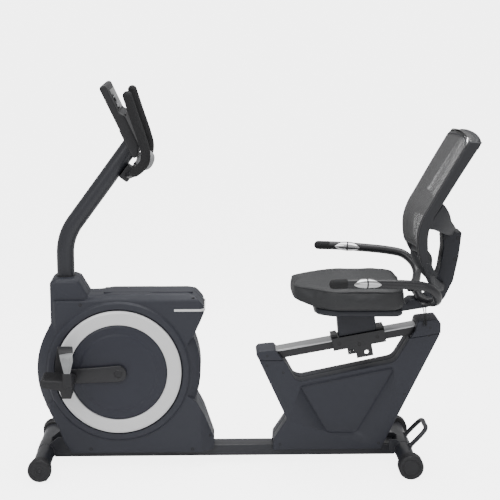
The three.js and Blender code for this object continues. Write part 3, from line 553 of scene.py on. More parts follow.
def spline(points: Sequence[Sequence[float]], count: int) -> Array:
    """A smooth curve through points: centripetal Catmull-Rom pieces, with the end points mirrored
    outwards, sampled evenly along its length.

    Args:
        points: The points, one row each.
        count: Samples.

    Returns:
        The samples.
    """
    p = np.asarray(points, float)
    p = np.concatenate([[2 * p[0] - p[1]], p, [2 * p[-1] - p[-2]]])
    knots = np.concatenate([[0], np.cumsum(np.linalg.norm(np.diff(p, axis=0), axis=1) ** 0.5)])
    pieces = []
    for i in range(1, len(p) - 2):
        t = np.linspace(knots[i], knots[i + 1], 24, endpoint=False)[:, None]
        k = knots[i - 1 : i + 3]
        a1 = (k[1] - t) / (k[1] - k[0]) * p[i - 1] + (t - k[0]) / (k[1] - k[0]) * p[i]
        a2 = (k[2] - t) / (k[2] - k[1]) * p[i] + (t - k[1]) / (k[2] - k[1]) * p[i + 1]
        a3 = (k[3] - t) / (k[3] - k[2]) * p[i + 1] + (t - k[2]) / (k[3] - k[2]) * p[i + 2]
        b1 = (k[2] - t) / (k[2] - k[0]) * a1 + (t - k[0]) / (k[2] - k[0]) * a2
        b2 = (k[3] - t) / (k[3] - k[1]) * a2 + (t - k[1]) / (k[3] - k[1]) * a3
        pieces.append((k[2] - t) / (k[2] - k[1]) * b1 + (t - k[1]) / (k[2] - k[1]) * b2)
    fine = np.concatenate([*pieces, p[-2:-1]])
    return even(fine, count)


def even(line: Array, count: int) -> Array:
    """Samples a line evenly along its length.

    Args:
        line: The line's points.
        count: Samples.

    Returns:
        The samples.
    """
    run = np.concatenate([[0], np.cumsum(np.linalg.norm(np.diff(line, axis=0), axis=1))])
    at = np.linspace(0, run[-1], count)
    return np.stack([np.interp(at, run, line[:, i]) for i in range(line.shape[1])], axis=1)


def grid_faces(rows: int, columns: int, ring: bool) -> Array:
    """Quads of a grid whose columns close on themselves.

    Args:
        rows: Rows of points.
        columns: Points in each row.
        ring: Whether the last row joins the first.

    Returns:
        One quad a row.
    """
    i, j = np.meshgrid(np.arange(rows if ring else rows - 1), np.arange(columns), indexing="ij")
    down = (i + 1) % rows
    over = (j + 1) % columns
    near, far = i * columns, down * columns
    return np.stack([near + j, near + over, far + over, far + j], -1).reshape(-1, 4)


def put(name: str, points: Array, faces: Sequence[Sequence[int]], sharp: float = 38.0) -> bpy.types.Object:
    """Makes a mesh object at the origin from points in millimetres.

    Args:
        name: The object's name.
        points: One row a point.
        faces: Vertex numbers of each face.
        sharp: Edges that turn by more degrees than this stay sharp.

    Returns:
        The object, closed, merged and facing out.
    """
    mesh = bpy.data.meshes.new(name)
    mesh.from_pydata((np.asarray(points, float) * MM).tolist(), [], [list(map(int, f)) for f in faces])
    work = bmesh.new()
    work.from_mesh(mesh)
    bmesh.ops.remove_doubles(work, verts=work.verts, dist=1e-6)
    bmesh.ops.dissolve_degenerate(work, edges=work.edges, dist=1e-7)
    bmesh.ops.recalc_face_normals(work, faces=work.faces)
    work.to_mesh(mesh)
    work.free()
    mesh.shade_smooth()
    mesh.set_sharp_from_angle(angle=math.radians(sharp))
    made = bpy.data.objects.new(name, mesh)
    bpy.context.scene.collection.objects.link(made)
    return made


def rings(name: str, rows: Array, sharp: float = 38.0, ring: bool = False) -> bpy.types.Object:
    """A surface through closed rows of points, with its two ends filled.

    Args:
        name: The object's name.
        rows: Points by row, place in the row and axis.
        sharp: Edges that turn by more degrees than this stay sharp.
        ring: Whether the last row joins the first, in place of filled ends.

    Returns:
        The object.
    """
    count, columns = rows.shape[:2]
    faces = grid_faces(count, columns, ring).tolist()
    if not ring:
        faces.append(list(range(columns))[::-1])
        faces.append(list(range((count - 1) * columns, count * columns)))
    return put(name, rows.reshape(-1, 3), faces, sharp)


SIDE = (np.array([1.0, 0, 0]), np.array([0, 0, 1.0]), np.array([0, 1.0, 0]))
PLAN = (np.array([1.0, 0, 0]), np.array([0, 1.0, 0]), np.array([0, 0, 1.0]))
FACE = (np.array([0, 1.0, 0]), np.array([0, 0, 1.0]), np.array([1.0, 0, 0]))
Axes = tuple[Array, Array, Array]


def unfold(row: Array, heading: Array) -> Array:
    """Takes the folds out of a line that was moved inwards: each run of edges that now point back is
    drawn together at the crossing of its two neighbours.

    Args:
        row: The moved line.
        heading: The unmoved edges' directions.

    Returns:
        The line without folds.
    """
    count = len(row)
    for _ in range(8):
        back = ((np.roll(row, -1, axis=0) - row) * heading).sum(1) < 1e-6
        if not back.any() or back.all():
            break
        starts = np.flatnonzero(back & ~np.roll(back, 1))
        changed = False
        for first in starts:
            length = int(np.argmin(np.roll(back, -first)))
            run = np.arange(first, first + length + 1) % count
            before, after = heading[(first - 1) % count], heading[(first + length) % count]
            cross = before[0] * after[1] - before[1] * after[0]
            gap = row[run[-1]] - row[run[0]]
            if abs(cross) < 1e-3:
                meet = row[run].mean(0)
            else:
                meet = row[run[0]] + before * (gap[0] * after[1] - gap[1] * after[0]) / cross
            changed = changed or bool(np.abs(row[run] - meet).max() > 1e-4)
            row[run] = meet
        if not changed:
            break
    return row


def moved_in(outline: Array, amounts: Sequence[float]) -> Array:
    """Moves a closed outline inwards along its mitres.

    Args:
        outline: The outline, as (u, v) rows.
        amounts: The distances.

    Returns:
        One moved outline for each distance.
    """
    nxt = np.roll(outline, -1, axis=0) - outline
    prv = outline - np.roll(outline, 1, axis=0)
    unit = lambda v: v / np.maximum(np.linalg.norm(v, axis=1), 1e-9)[:, None]
    n1, n2 = unit(nxt)[:, ::-1] * [1, -1], unit(prv)[:, ::-1] * [1, -1]
    u, v = outline.T
    area = 0.5 * np.sum(u * np.roll(v, -1) - np.roll(u, -1) * v)
    miter = (n1 + n2) / np.maximum(1 + (n1 * n2).sum(1), 0.4)[:, None] * (1 if area > 0 else -1)
    return np.stack([unfold(outline - miter * amount, unit(nxt)) for amount in amounts])


def soft_plate(
    name: str,
    outline: Array,
    low: float,
    high: float,
    edge: float,
    axes: Axes = SIDE,
    origin: Point = (0.0, 0.0, 0.0),
    crown: float = 0.0,
) -> bpy.types.Object:
    """A plate with rounded edges: the outline is carried from low to high, and near both ends it
    moves inwards by edge * (1 - cos a) while its depth follows edge * sin a.

    Args:
        name: The object's name.
        outline: The closed outline, as (u, v) rows.
        low: Where the plate starts along the third axis.
        high: Where it ends.
        edge: The radius of its edges.
        axes: The directions of u, v and the plate's depth.
        origin: The place of u = v = 0.
        crown: How far the high face swells past its edge, by rows that move further in.

    Returns:
        The object.
    """
    a = np.linspace(0, math.pi / 2, 6)
    inset = np.concatenate([edge * (1 - np.sin(a)), edge * (1 - np.cos(a))])
    depth = np.concatenate([low + edge * (1 - np.cos(a)), high - edge + edge * np.sin(a)])
    if crown:
        t = np.linspace(0.15, 1, 8)
        inset = np.concatenate([inset, edge + t * crown * 6])
        depth = np.concatenate([depth, high + crown * (1 - (1 - t) ** 2)])
    flat = moved_in(outline, inset)
    rows = flat[..., :1] * axes[0] + flat[..., 1:] * axes[1] + depth[:, None, None] * axes[2]
    return rings(name, rows + np.array(origin))


def sweep(
    name: str,
    path: Array,
    half_u: Any,
    half_v: Any,
    reference: Point,
    ends: float = 3.0,
    power: float = 2.0,
    sides: int = 32,
) -> bpy.types.Object:
    """A bar along a path. Its section is the superellipse |u / a|^p + |v / b|^p = 1, with u towards
    the reference direction, and at both ends it shrinks on a quarter ellipse.

    Args:
        name: The object's name.
        path: Points along the middle.
        half_u: Half size towards the reference, one number or one for each point.
        half_v: Half size across it.
        reference: A direction never along the path.
        ends: How far the rounding of the ends reaches along the path.
        power: 2 for an ellipse, more for a squarer section.
        sides: Points round the section.

    Returns:
        The object.
    """
    count = len(path)
    a = np.broadcast_to(np.asarray(half_u, float), count)
    b = np.broadcast_to(np.asarray(half_v, float), count)
    run = np.concatenate([[0], np.cumsum(np.linalg.norm(np.diff(path, axis=0), axis=1))])
    phi = np.linspace(math.pi / 2, 0, 7)
    close = ends * (1 - np.sin(phi))
    at = np.concatenate([close, run[(run > ends) & (run < run[-1] - ends)], (run[-1] - close)[::-1]])
    small = np.minimum(ends, np.minimum(a, b).min())
    near = np.clip(np.minimum(at, run[-1] - at) / ends, 0, 1)
    shrink = small * (1 - np.sqrt(np.clip(1 - (1 - near) ** 2, 0, 1)))
    place = np.stack([np.interp(at, run, path[:, i]) for i in range(3)], 1)
    tangent = np.gradient(path, axis=0)
    tangent = np.stack([np.interp(at, run, tangent[:, i]) for i in range(3)], 1)
    tangent /= np.linalg.norm(tangent, axis=1)[:, None]
    ref = np.asarray(reference, float)
    u = ref - tangent * (tangent @ ref)[:, None]
    u /= np.linalg.norm(u, axis=1)[:, None]
    v = np.cross(tangent, u)
    wide = np.maximum(np.interp(at, run, a) - shrink, 0.3)
    tall = np.maximum(np.interp(at, run, b) - shrink, 0.3)
    angle = np.linspace(0, 2 * math.pi, sides, endpoint=False)
    cu = np.sign(np.cos(angle)) * np.abs(np.cos(angle)) ** (2 / power)
    cv = np.sign(np.sin(angle)) * np.abs(np.sin(angle)) ** (2 / power)
    rows = place[:, None] + wide[:, None, None] * cu[:, None] * u[:, None]
    rows = rows + tall[:, None, None] * cv[:, None] * v[:, None]
    return rings(name, rows, 50.0)


def lathe(
    name: str,
    profile: Sequence[Sequence[float]],
    origin: Point,
    axis: Point = (0.0, 1.0, 0.0),
    sides: int = 96,
    ring: bool = False,
) -> bpy.types.Object:
    """A turned piece: a rounded profile of (radius, depth, corner radius) carried round an axis.

    Args:
        name: The object's name.
        profile: Corners of the profile.
        origin: A point on the axis, at depth 0.
        axis: The axis' direction.
        sides: Steps round the axis.
        ring: Whether the profile closes on itself, for a ring with a hole.

    Returns:
        The object.
    """
    line = fillet(profile, closed=ring, steps=5)
    along = np.asarray(axis, float) / np.linalg.norm(axis)
    helper = np.array([0, 0, 1.0]) if abs(along[2]) < 0.9 else np.array([1.0, 0, 0])
    u = np.cross(helper, along)
    u /= np.linalg.norm(u)
    v = np.cross(along, u)
    angle = np.linspace(0, 2 * math.pi, sides, endpoint=False)
    spoke = np.cos(angle)[:, None] * u + np.sin(angle)[:, None] * v
    rows = line[:, 0, None, None] * spoke[None] + line[:, 1, None, None] * along
    return rings(name, rows + np.array(origin), ring=ring)


def eased_copy(node: str, name: str, width: float, segments: int = 3) -> bpy.types.Object:
    """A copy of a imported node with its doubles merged, its flat faces joined and its edges rounded.

    Args:
        node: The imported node.
        name: The new object's name.
        width: The rounding, in millimetres.
        segments: Steps of the rounding.

    Returns:
        The object.
    """
    mesh = frame["nodes"][node].data.copy()
    mesh.name = name
    work = bmesh.new()
    work.from_mesh(mesh)
    bmesh.ops.remove_doubles(work, verts=work.verts, dist=2e-5)
    bmesh.ops.dissolve_limit(work, angle_limit=math.radians(1.5), verts=work.verts, edges=work.edges)
    bmesh.ops.recalc_face_normals(work, faces=work.faces)
    work.to_mesh(mesh)
    work.free()
    mesh.shade_smooth()
    mesh.set_sharp_from_angle(angle=math.radians(32))
    made = bpy.data.objects.new(name, mesh)
    bpy.context.scene.collection.objects.link(made)
    ease = made.modifiers.new("ease", "BEVEL")
    ease.width = width * MM
    ease.segments = segments
    ease.limit_method = "ANGLE"
    ease.angle_limit = math.radians(34)
    ease.use_clamp_overlap = True
    ease.harden_normals = False
    return made


def settle(piece: bpy.types.Object) -> None:
    """Applies a piece's modifiers to its mesh.

    Args:
        piece: The piece.
    """
    depsgraph = bpy.context.evaluated_depsgraph_get()
    mesh = bpy.data.meshes.new_from_object(piece.evaluated_get(depsgraph))
    piece.modifiers.clear()
    old = piece.data
    piece.data = mesh
    bpy.data.meshes.remove(old)
    work = bmesh.new()
    work.from_mesh(mesh)
    bmesh.ops.remove_doubles(work, verts=work.verts, dist=1e-6)
    work.to_mesh(mesh)
    work.free()


def closed_cord(name: str, path: Array, radius: float, sides: int = 12) -> bpy.types.Object:
    """A round cord round a closed line.

    Args:
        name: The object's name.
        path: The closed line.
        radius: The cord's radius.
        sides: Points round its section.

    Returns:
        The object.
    """
    tangent = np.roll(path, -1, axis=0) - np.roll(path, 1, axis=0)
    tangent /= np.linalg.norm(tangent, axis=1)[:, None]
    up = np.array([0, 0, 1.0])
    out = np.cross(tangent, up)
    out /= np.linalg.norm(out, axis=1)[:, None]
    lift = np.cross(out, tangent)
    angle = np.linspace(0, 2 * math.pi, sides, endpoint=False)
    rows = path[:, None] + radius * (
        np.cos(angle)[:, None] * out[:, None] + np.sin(angle)[:, None] * lift[:, None]
    )
    return rings(name, rows, 60.0, ring=True)


def rectangle(left: float, low: float, right: float, high: float, corner: float = 0.0) -> Array:
    """An upright rectangle with rounded corners.

    Args:
        left: Its smallest u.
        low: Its smallest v.
        right: Its largest u.
        high: Its largest v.
        corner: The corners' radius.

    Returns:
        The outline.
    """
    ends = ((left, low), (right, low), (right, high), (left, high))
    return fillet([(u, v, corner) for u, v in ends])


def arc(middle: Sequence[float], radius: float, start: float, stop: float) -> Array:
    """Points on part of a circle: the middle plus the radius times (cos a, sin a).

    Args:
        middle: The circle's middle.
        radius: Its radius.
        start: The first angle.
        stop: The last angle.

    Returns:
        The points.
    """
    angle = np.linspace(start, stop, 24)
    return np.asarray(middle) + radius * np.stack([np.cos(angle), np.sin(angle)], 1)


def mirrored(points: Sequence[Sequence[float]]) -> list[list[float]]:
    """The same points across the centre plane.

    Args:
        points: The points.

    Returns:
        The points with y turned round.
    """
    return [[p[0], -p[1], *p[2:]] for p in points]


def on_rail(along: float, up: float) -> tuple[float, float]:
    """A point in the side plane, given along the seat rail and up from its top face.

    Args:
        along: Distance from the rail's middle.
        up: Height over its top face.

    Returns:
        x and z.
    """
    c, s = math.cos(RAIL_SLOPE), math.sin(RAIL_SLOPE)
    return RAIL[0] + along * c - up * s, RAIL[1] + along * s + up * c


@dataclass
class Assembly:
    """A sub-assembly: it makes pieces, dresses them and says what they ride on.

    Attributes:
        finishes: The bike's finishes.
        body: The body that its pieces ride on, unless one says otherwise.
    """

    finishes: Finishes
    body: str = "frame"

    def fit(
        self, piece: bpy.types.Object, slot: str, *nodes: str, body: str | None = None
    ) -> bpy.types.Object:
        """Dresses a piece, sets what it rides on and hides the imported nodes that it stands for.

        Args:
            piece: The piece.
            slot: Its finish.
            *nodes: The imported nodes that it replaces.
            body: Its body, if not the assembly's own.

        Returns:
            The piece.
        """
        self.finishes.dress(piece, slot)
        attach(piece, body or self.body)
        if nodes:
            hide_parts(*nodes)
        return piece

    def screw(self, name: str, at: Point, axis: Point, radius: float = 5.0, body: str | None = None) -> None:
        """A countersunk screw head with a socket, standing 0.6 mm out of the face.

        Args:
            name: The piece's name.
            at: Where the axis meets the face.
            axis: The direction out of the face.
            radius: The head's radius.
            body: Its body, if not the assembly's own.
        """
        profile = [
            (0, -1.4),
            (radius * 0.5, -1.4),
            (radius * 0.55, 0.1, 0.2),
            (radius * 0.86, 0.3, 0.4),
            (radius, 0.0, 0.3),
            (radius, -2.4),
            (0, -2.4),
        ]
        self.fit(lathe(name, profile, at, axis, 28), "wire_rubber", body=body)


# ---------- sub-assemblies ----------


@dataclass
class SensorWires(Assembly):
    """The two pulse sensor wires, slack between the seat's handlebar and the rear rail cap."""

    radius: float = 1.8

    def build(self) -> None:
        """Builds and dresses both wires, hides the imported ones and bakes their transforms."""
        for side, shift in (("front", -5.0), ("rear", 5.0)):
            route = [
                (578 + shift, -50, 583),
                (581 + shift, -54, 566),
                (584 + shift * 0.6, -59, 540),
                (585 + shift * 0.6, -61, 515),
                (584 + shift, -61, 495),
            ]
            path = spline(route, 36)
            wire = sweep(f"{side}_wire", path, self.radius, self.radius, (1, 0, 0), 0.4, sides=16)
            self.finishes.dress(wire, "wire_rubber")
            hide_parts(f"{side}_sensor_wire")
            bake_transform(wire)


@dataclass
class Base(Assembly):
    """The floor beam, both stabilisers, their ends and the lift handle."""

    def build(self) -> None:
        """Builds the base."""
        beam = rectangle(-37, 24, 37, 64, 6)
        self.fit(soft_plate("beam", beam, -703, 490, 0.8, FACE), "frame_paint", "main_beam")
        self._stabilisers()
        for side, sign in (("left", -1.0), ("right", 1.0)):
            self._front_end(side, sign)
            self._rear_end(side, sign)
        self._lift_handle()

    def _stabilisers(self) -> None:
        """Both cross tubes, each with two cheek plates welded to it."""
        front = [(-742, 52, 3), (-722, 72, 3), (-690, 98, 8), (-642, 98, 6), (-642, 30, 6), (-735, 30, 3)]
        rear = [(528, 52, 3), (508, 72, 3), (496, 80, 6), (470, 80, 6), (470, 30, 6), (522, 30, 3)]
        cheeks = {"front": (FRONT_X, front), "rear": (REAR_X, rear)}
        for end, (x, cheek) in cheeks.items():
            tube = lathe(
                f"{end}_tube", [(0, -195), (30, -195, 1), (30, 195, 1), (0, 195)], (x, 0, FOOT_R)
            )
            self.fit(tube, "frame_paint", f"{end}_stabiliser")
            for side, sign in (("left", -1), ("right", 1)):
                low, high = sorted((sign * 37.3, sign * 42.3))
                plate = soft_plate(f"{end}_{side}_cheek", fillet(cheek), low, high, 1.2)
                self.fit(plate, "frame_paint")
            bead = [(29, -44.5), (31.5, -43, 1), (31.5, 43, 1), (29, 44.5)]
            self.fit(lathe(f"{end}_weld", bead, (x, 0, FOOT_R), ring=True), "frame_paint")

    def _front_end(self, side: str, sign: float) -> None:
        """A front end cap with its standing pad, and the transport wheel on it.

        Args:
            side: left or right.
            sign: -1 on the left and 1 on the right.
        """
        axis = (0.0, sign, 0.0)
        at = (FRONT_X, 0.0, FOOT_R)
        cap = lathe(f"{side}_front_end", [(0, 189), (37, 189, 1.5), (37, 213.6, 2), (0, 213.6)], at, axis)
        self.fit(cap, "black_plastic", f"{side}_front_cap")
        pad = fillet([(-762, 30, 3), (-756, 0, 5), (-712, 0, 5), (-706, 30, 3)])
        low, high = sorted((sign * 190.5, sign * 213.6))
        self.fit(soft_plate(f"{side}_foot_pad", pad, low, high, 2.2), "black_plastic")
        wheel = [
            (8.2, 214.5),
            (38, 214.5, 1),
            (40.5, 218, 2),
            (40.5, 230, 5),
            (36, 236, 2),
            (31, 236, 1.2),
            (29.5, 234, 1),
            (16, 234, 1),
            (14, 236, 1.5),
            (8.2, 236, 1),
        ]
        made = lathe(f"{side}_wheel", wheel, at, axis, ring=True)
        self.fit(made, "black_plastic", f"{side}_transport_wheel", body=f"{side}_transport_wheel")
        bolt = [(0, 233.2), (3, 233.2), (4.4, 234.4, 1), (7.6, 234.2, 0.8), (8, 232), (8, 214), (0, 214)]
        self.fit(lathe(f"{side}_wheel_bolt", bolt, at, axis, 32), "black_paint")

    def _rear_end(self, side: str, sign: float) -> None:
        """A rear cap, turned off its axis so that it levels the bike.

        Args:
            side: left or right.
            sign: -1 on the left and 1 on the right.
        """
        profile = [
            (0, 236),
            (26, 236, 0.8),
            (27.5, 234.4, 0.6),
            (29.5, 234.4, 0.6),
            (31, 236, 0.8),
            (38, 236, 4),
            (43, 229, 3),
            (43, 190.5, 2),
            (0, 190.5),
        ]
        cap = lathe(f"{side}_leveller", profile, (REAR_X + 3, 0, FOOT_R), (0, sign, 0), 112)
        self.fit(cap, "black_plastic", f"{side}_rear_cap", body=f"{side}_rear_cap")

    def _lift_handle(self) -> None:
        """The bent round bar behind the rear stabiliser, with a weld bead at each foot."""
        start = 31.5 * math.sqrt(0.5)
        x, z = REAR_X + start, FOOT_R + start
        half = [(x, -62, z), (x + 36, -62, z + 38), (x + 51, -55, z + 54), (x + 56, -38, z + 59)]
        path = spline([*half, (x + 56, 0, z + 59), *mirrored(half)[::-1]], 90)
        bar = sweep("lift_bar", path, 8, 8, (-1, 0, 1), 1.0, sides=28)
        self.fit(bar, "frame_paint", "rear_lift_handle")
        for side, y in (("left", -62), ("right", 62)):
            bead = [(7, 0), (11, 0, 1), (8.2, 6, 2), (7, 6)]
            weld = lathe(f"lift_{side}_weld", bead, (x - 1, y, z - 1), (1, 0, 1), 32, True)
            self.fit(weld, "frame_paint")


def ray_reach(angle: Array, outline: Array) -> Array:
    """How far rays from the crank axis go before they leave an outline: the furthest crossing of
    each ray with the outline's edges, from the cross products of their directions.

    Args:
        angle: The rays' angles.
        outline: The closed outline, as (x, z) rows.

    Returns:
        One distance a ray.
    """
    start = outline - np.array(CRANK)
    side = np.roll(start, -1, axis=0) - start
    ray = np.stack([np.cos(angle), np.sin(angle)], 1)
    cross = ray[:, None, 0] * side[None, :, 1] - ray[:, None, 1] * side[None, :, 0]
    safe = np.where(np.abs(cross) < 1e-9, 1e-9, cross)
    reach = (start[None, :, 0] * side[None, :, 1] - start[None, :, 1] * side[None, :, 0]) / safe
    along = (start[None, :, 0] * ray[:, None, 1] - start[None, :, 1] * ray[:, None, 0]) / safe
    hit = (along >= -1e-6) & (along <= 1 + 1e-6) & (reach > 0)
    return np.where(hit, reach, 0).max(1)


@dataclass
class Shroud(Assembly):
    """The drive's two moulded halves, the collar round the mast, the lid and the light strip."""

    belly: float = 283.0
    rim: float = 248.0
    wall: float = 3.0
    columns: int = 720
    upper: list[tuple[float, ...]] = field(
        default_factory=lambda: [
            (-300, 347),
            (-211, 473, 30),
            (-175, 552, 20),
            (-179, 578, 14),
            (-206, 610, 16),
            (-234, 616, 16),
            (-492, 616, 40),
            (-574, 596, 30),
            (-702, 596, 10),
            (-702, 500),
            (-600, 347),
        ]
    )
    foot: list[tuple[float, ...]] = field(
        default_factory=lambda: [
            (-641, 52, 4),
            (-667, 96, 14),
            (-683, 143, 20),
            (-703, 181, 24),
            (-724, 226),
            (-600, 330),
            (-340, 330),
            (-204, 236),
            (-177, 186, 24),
            (-143, 92, 12),
            (-143, 60, 6),
            (-152, 52, 4),
        ]
    )

    def reach(self, angle: Array, depth: float, grow: float = 0.0) -> Array:
        """The distance from the crank axis to the shell: the furthest of the round belly, the upper
        body and the foot, each cut by the planes that slope its top and its corners.

        Args:
            angle: The angles in the side plane.
            depth: The distance from the centre plane.
            grow: How far the surface is moved out.

        Returns:
            One distance an angle.
        """
        c, s = np.cos(angle), np.sin(angle)
        far = np.full_like(angle, 9e3)
        front = -702 + 18 * max(0.0, depth - 59) / 26
        rear = -143 - 48 * max(0.0, depth - 51) / 34
        top = 638 - 42 * max(0.0, depth - 42) / 43
        fore = np.where(c < -1e-6, (front - CRANK[0]) / np.minimum(c, -1e-6), far)
        back = np.where(c > 1e-6, (rear - CRANK[0]) / np.maximum(c, 1e-6), far)
        over = np.where(s > 1e-6, (top - CRANK[1]) / np.maximum(s, 1e-6), far)
        upper = np.minimum.reduce([ray_reach(angle, fillet(self.upper)), fore, back, over])
        foot = np.minimum.reduce([ray_reach(angle, fillet(self.foot)), np.where(s < 0, fore + 30, far), back])
        slope = np.clip((depth - 60) / 25, 0, 1)
        crest = (611 - 14 * max(0.0, depth - 50) / 35 - CRANK[1]) / np.maximum(s, 1e-6)
        belly = np.minimum(self.belly - 35 * slope**1.15, np.where(s > 1e-6, crest, far))
        blend = 5.0
        parts = np.stack([upper, foot, belly])
        peak = parts.max(0)
        return peak + blend * np.log(np.exp((parts - peak) / blend).sum(0)) - blend * 0.25 + grow

    def build(self) -> None:
        """Builds the shroud."""
        for side, sign in (("left", -1.0), ("right", 1.0)):
            shell = self._half(side, sign)
            self.fit(shell, "cover_plastic", f"{side}_shroud")
            self._collar(side, sign)
            self._screws(side, sign)
        lid = rectangle(-521, -41.5, -215, 41.5, 5)
        cover = soft_plate("service_lid", lid, 611, 617.6, 1.6, PLAN)
        self.fit(cover, "cover_plastic", "shroud_top_cover")
        self._strip()

    def _half(self, side: str, sign: float) -> bpy.types.Object:
        """One half: rows run from the seam out over the side face to the rim round the ring, in to
        the axle hole, and back along the inside of the wall.

        Args:
            side: left or right.
            sign: -1 on the left and 1 on the right.

        Returns:
            The half shell.
        """
        angle = np.linspace(0, 2 * math.pi, self.columns, endpoint=False)
        rows: list[tuple[Array, float]] = []
        rows.append((self.reach(angle, 0.4) - 1.4, 0.4))
        for depth in (1.6, 20, 40, 46, 51, 55, 59, 62, 66, 70, 74, 78, 80):
            rows.append((self.reach(angle, depth), depth))
        edge = 5.0
        for a in np.linspace(0.2, math.pi / 2, 6):
            depth = SHROUD_HALF - edge + edge * math.sin(a)
            rows.append((self.reach(angle, depth) - edge * (1 - math.cos(a)), depth))
        outer = np.maximum(rows[-1][0], self.rim + 1.5)
        rows[-1] = (outer, SHROUD_HALF)
        for t in (0.3, 0.65):
            rows.append((outer + (self.rim + 1 - outer) * t, SHROUD_HALF))
        lip = fillet(
            [(249, 85), (247, 85, 3), (240, 94, 4), (221, 94, 2), (219.5, 85.4, 1), (26, 85, 1), (24, 82)],
            closed=False,
            steps=5,
        )
        rows += [(np.full_like(angle, r), float(d)) for r, d in lip]
        inner = [(82.0, 8.0), (60.0, 3.0), (20.0, 3.0), (0.4, 3.0)]
        rows += [(self.reach(angle, depth) - self.wall - inset, depth) for depth, inset in inner]
        radius = np.stack([r for r, _ in rows])
        depth = np.array([d for _, d in rows])
        spoke = np.stack([np.cos(angle), np.zeros_like(angle), np.sin(angle)], 1)
        points = radius[..., None] * spoke + depth[:, None, None] * np.array([0, sign, 0])
        return rings(f"{side}_shell", points + np.array([CRANK[0], 0, CRANK[1]]), 30.0, ring=True)

    def _collar(self, side: str, sign: float) -> None:
        """Half of the collar that wraps the mast; the dark gap between it and the mast is painted shade, a
        black ring built with the mast.

        Args:
            side: left or right.
            sign: -1 on the left and 1 on the right.
        """
        line = fillet(
            [
                (-703, 480),
                (-560, 480),
                (-566, 596, 6),
                (-604, 662, 12),
                (-622, 669, 10),
                (-684, 669, 14),
                (-703, 656, 12),
            ]
        )
        rows = moved_in(line, [1.0, 0.0, 0.0, 0.0, 1.6, 5.0, 11.0, 14.0])
        depths = np.array([0.4, 1.4, 30.0, 58.0, 63.0, 66.5, 71.0, 72.0]) * sign
        points = np.stack([rows[..., 0], np.repeat(depths[:, None], len(line), 1), rows[..., 1]], -1)
        block = rings(f"{side}_collar", points, 28)
        self.fit(block, "cover_plastic")

    def _screws(self, side: str, sign: float) -> None:
        """Screws along the shroud's border.

        Args:
            side: left or right.
            sign: -1 on the left and 1 on the right.
        """
        places = [(-598, 582), (-214, 600), (-725, 291), (-572, 69), (-220, 66), (-162, 107)]
        for i, (x, z) in enumerate(places):
            angle = math.atan2(z - CRANK[1], x - CRANK[0])
            span = math.hypot(x - CRANK[0], z - CRANK[1])
            depths = np.linspace(40, 85, 91)
            open_at = [d for d in depths if self.reach(np.array([angle]), float(d))[0] > span + 1]
            depth = max(open_at) if open_at else 60.0
            self.screw(f"{side}_shell_screw_{i}", (x, sign * (depth + 0.6), z), (0, sign, 0), 5.4)
        for i, (x, z) in enumerate(((-694, 631), (-592, 622))):
            self.screw(f"{side}_collar_screw_{i}", (x, sign * (66.6 - 6 * i), z), (0, sign, 0), 5.0)

    def _strip(self) -> None:
        """The light strip: a thin band that follows the shell round its rear upper corner."""
        heights = np.linspace(557.5, 565.5, 4)
        rows = []
        for lift in (1.3, -1.5):
            line = []
            for z in heights if lift > 0 else heights[::-1]:
                line.append(self._strip_line(float(z), lift))
            rows += line
        self.fit(rings("light_band", np.stack(rows, 1), 60), "light_strip", "shroud_light_strip")

    def _strip_line(self, z: float, lift: float) -> Array:
        """A line round the shell's rear corner at one height, moved out of the surface.

        Args:
            z: The height.
            lift: How far it stands out.

        Returns:
            Points from the left side round the rear to the right side.
        """
        front, rear, chamfer = -279.0, -174.5, 15.0
        face = SHROUD_HALF + lift
        corner = rear + lift
        turns = [(front, -face), (corner - chamfer, -face, 5), (corner, -face + 11, 4), (corner, 0)]
        half = fillet(turns, closed=False)
        whole = np.concatenate([half, (half * [1, -1])[-2::-1]])
        return np.stack([whole[:, 0], whole[:, 1], np.full(len(whole), z)], 1)


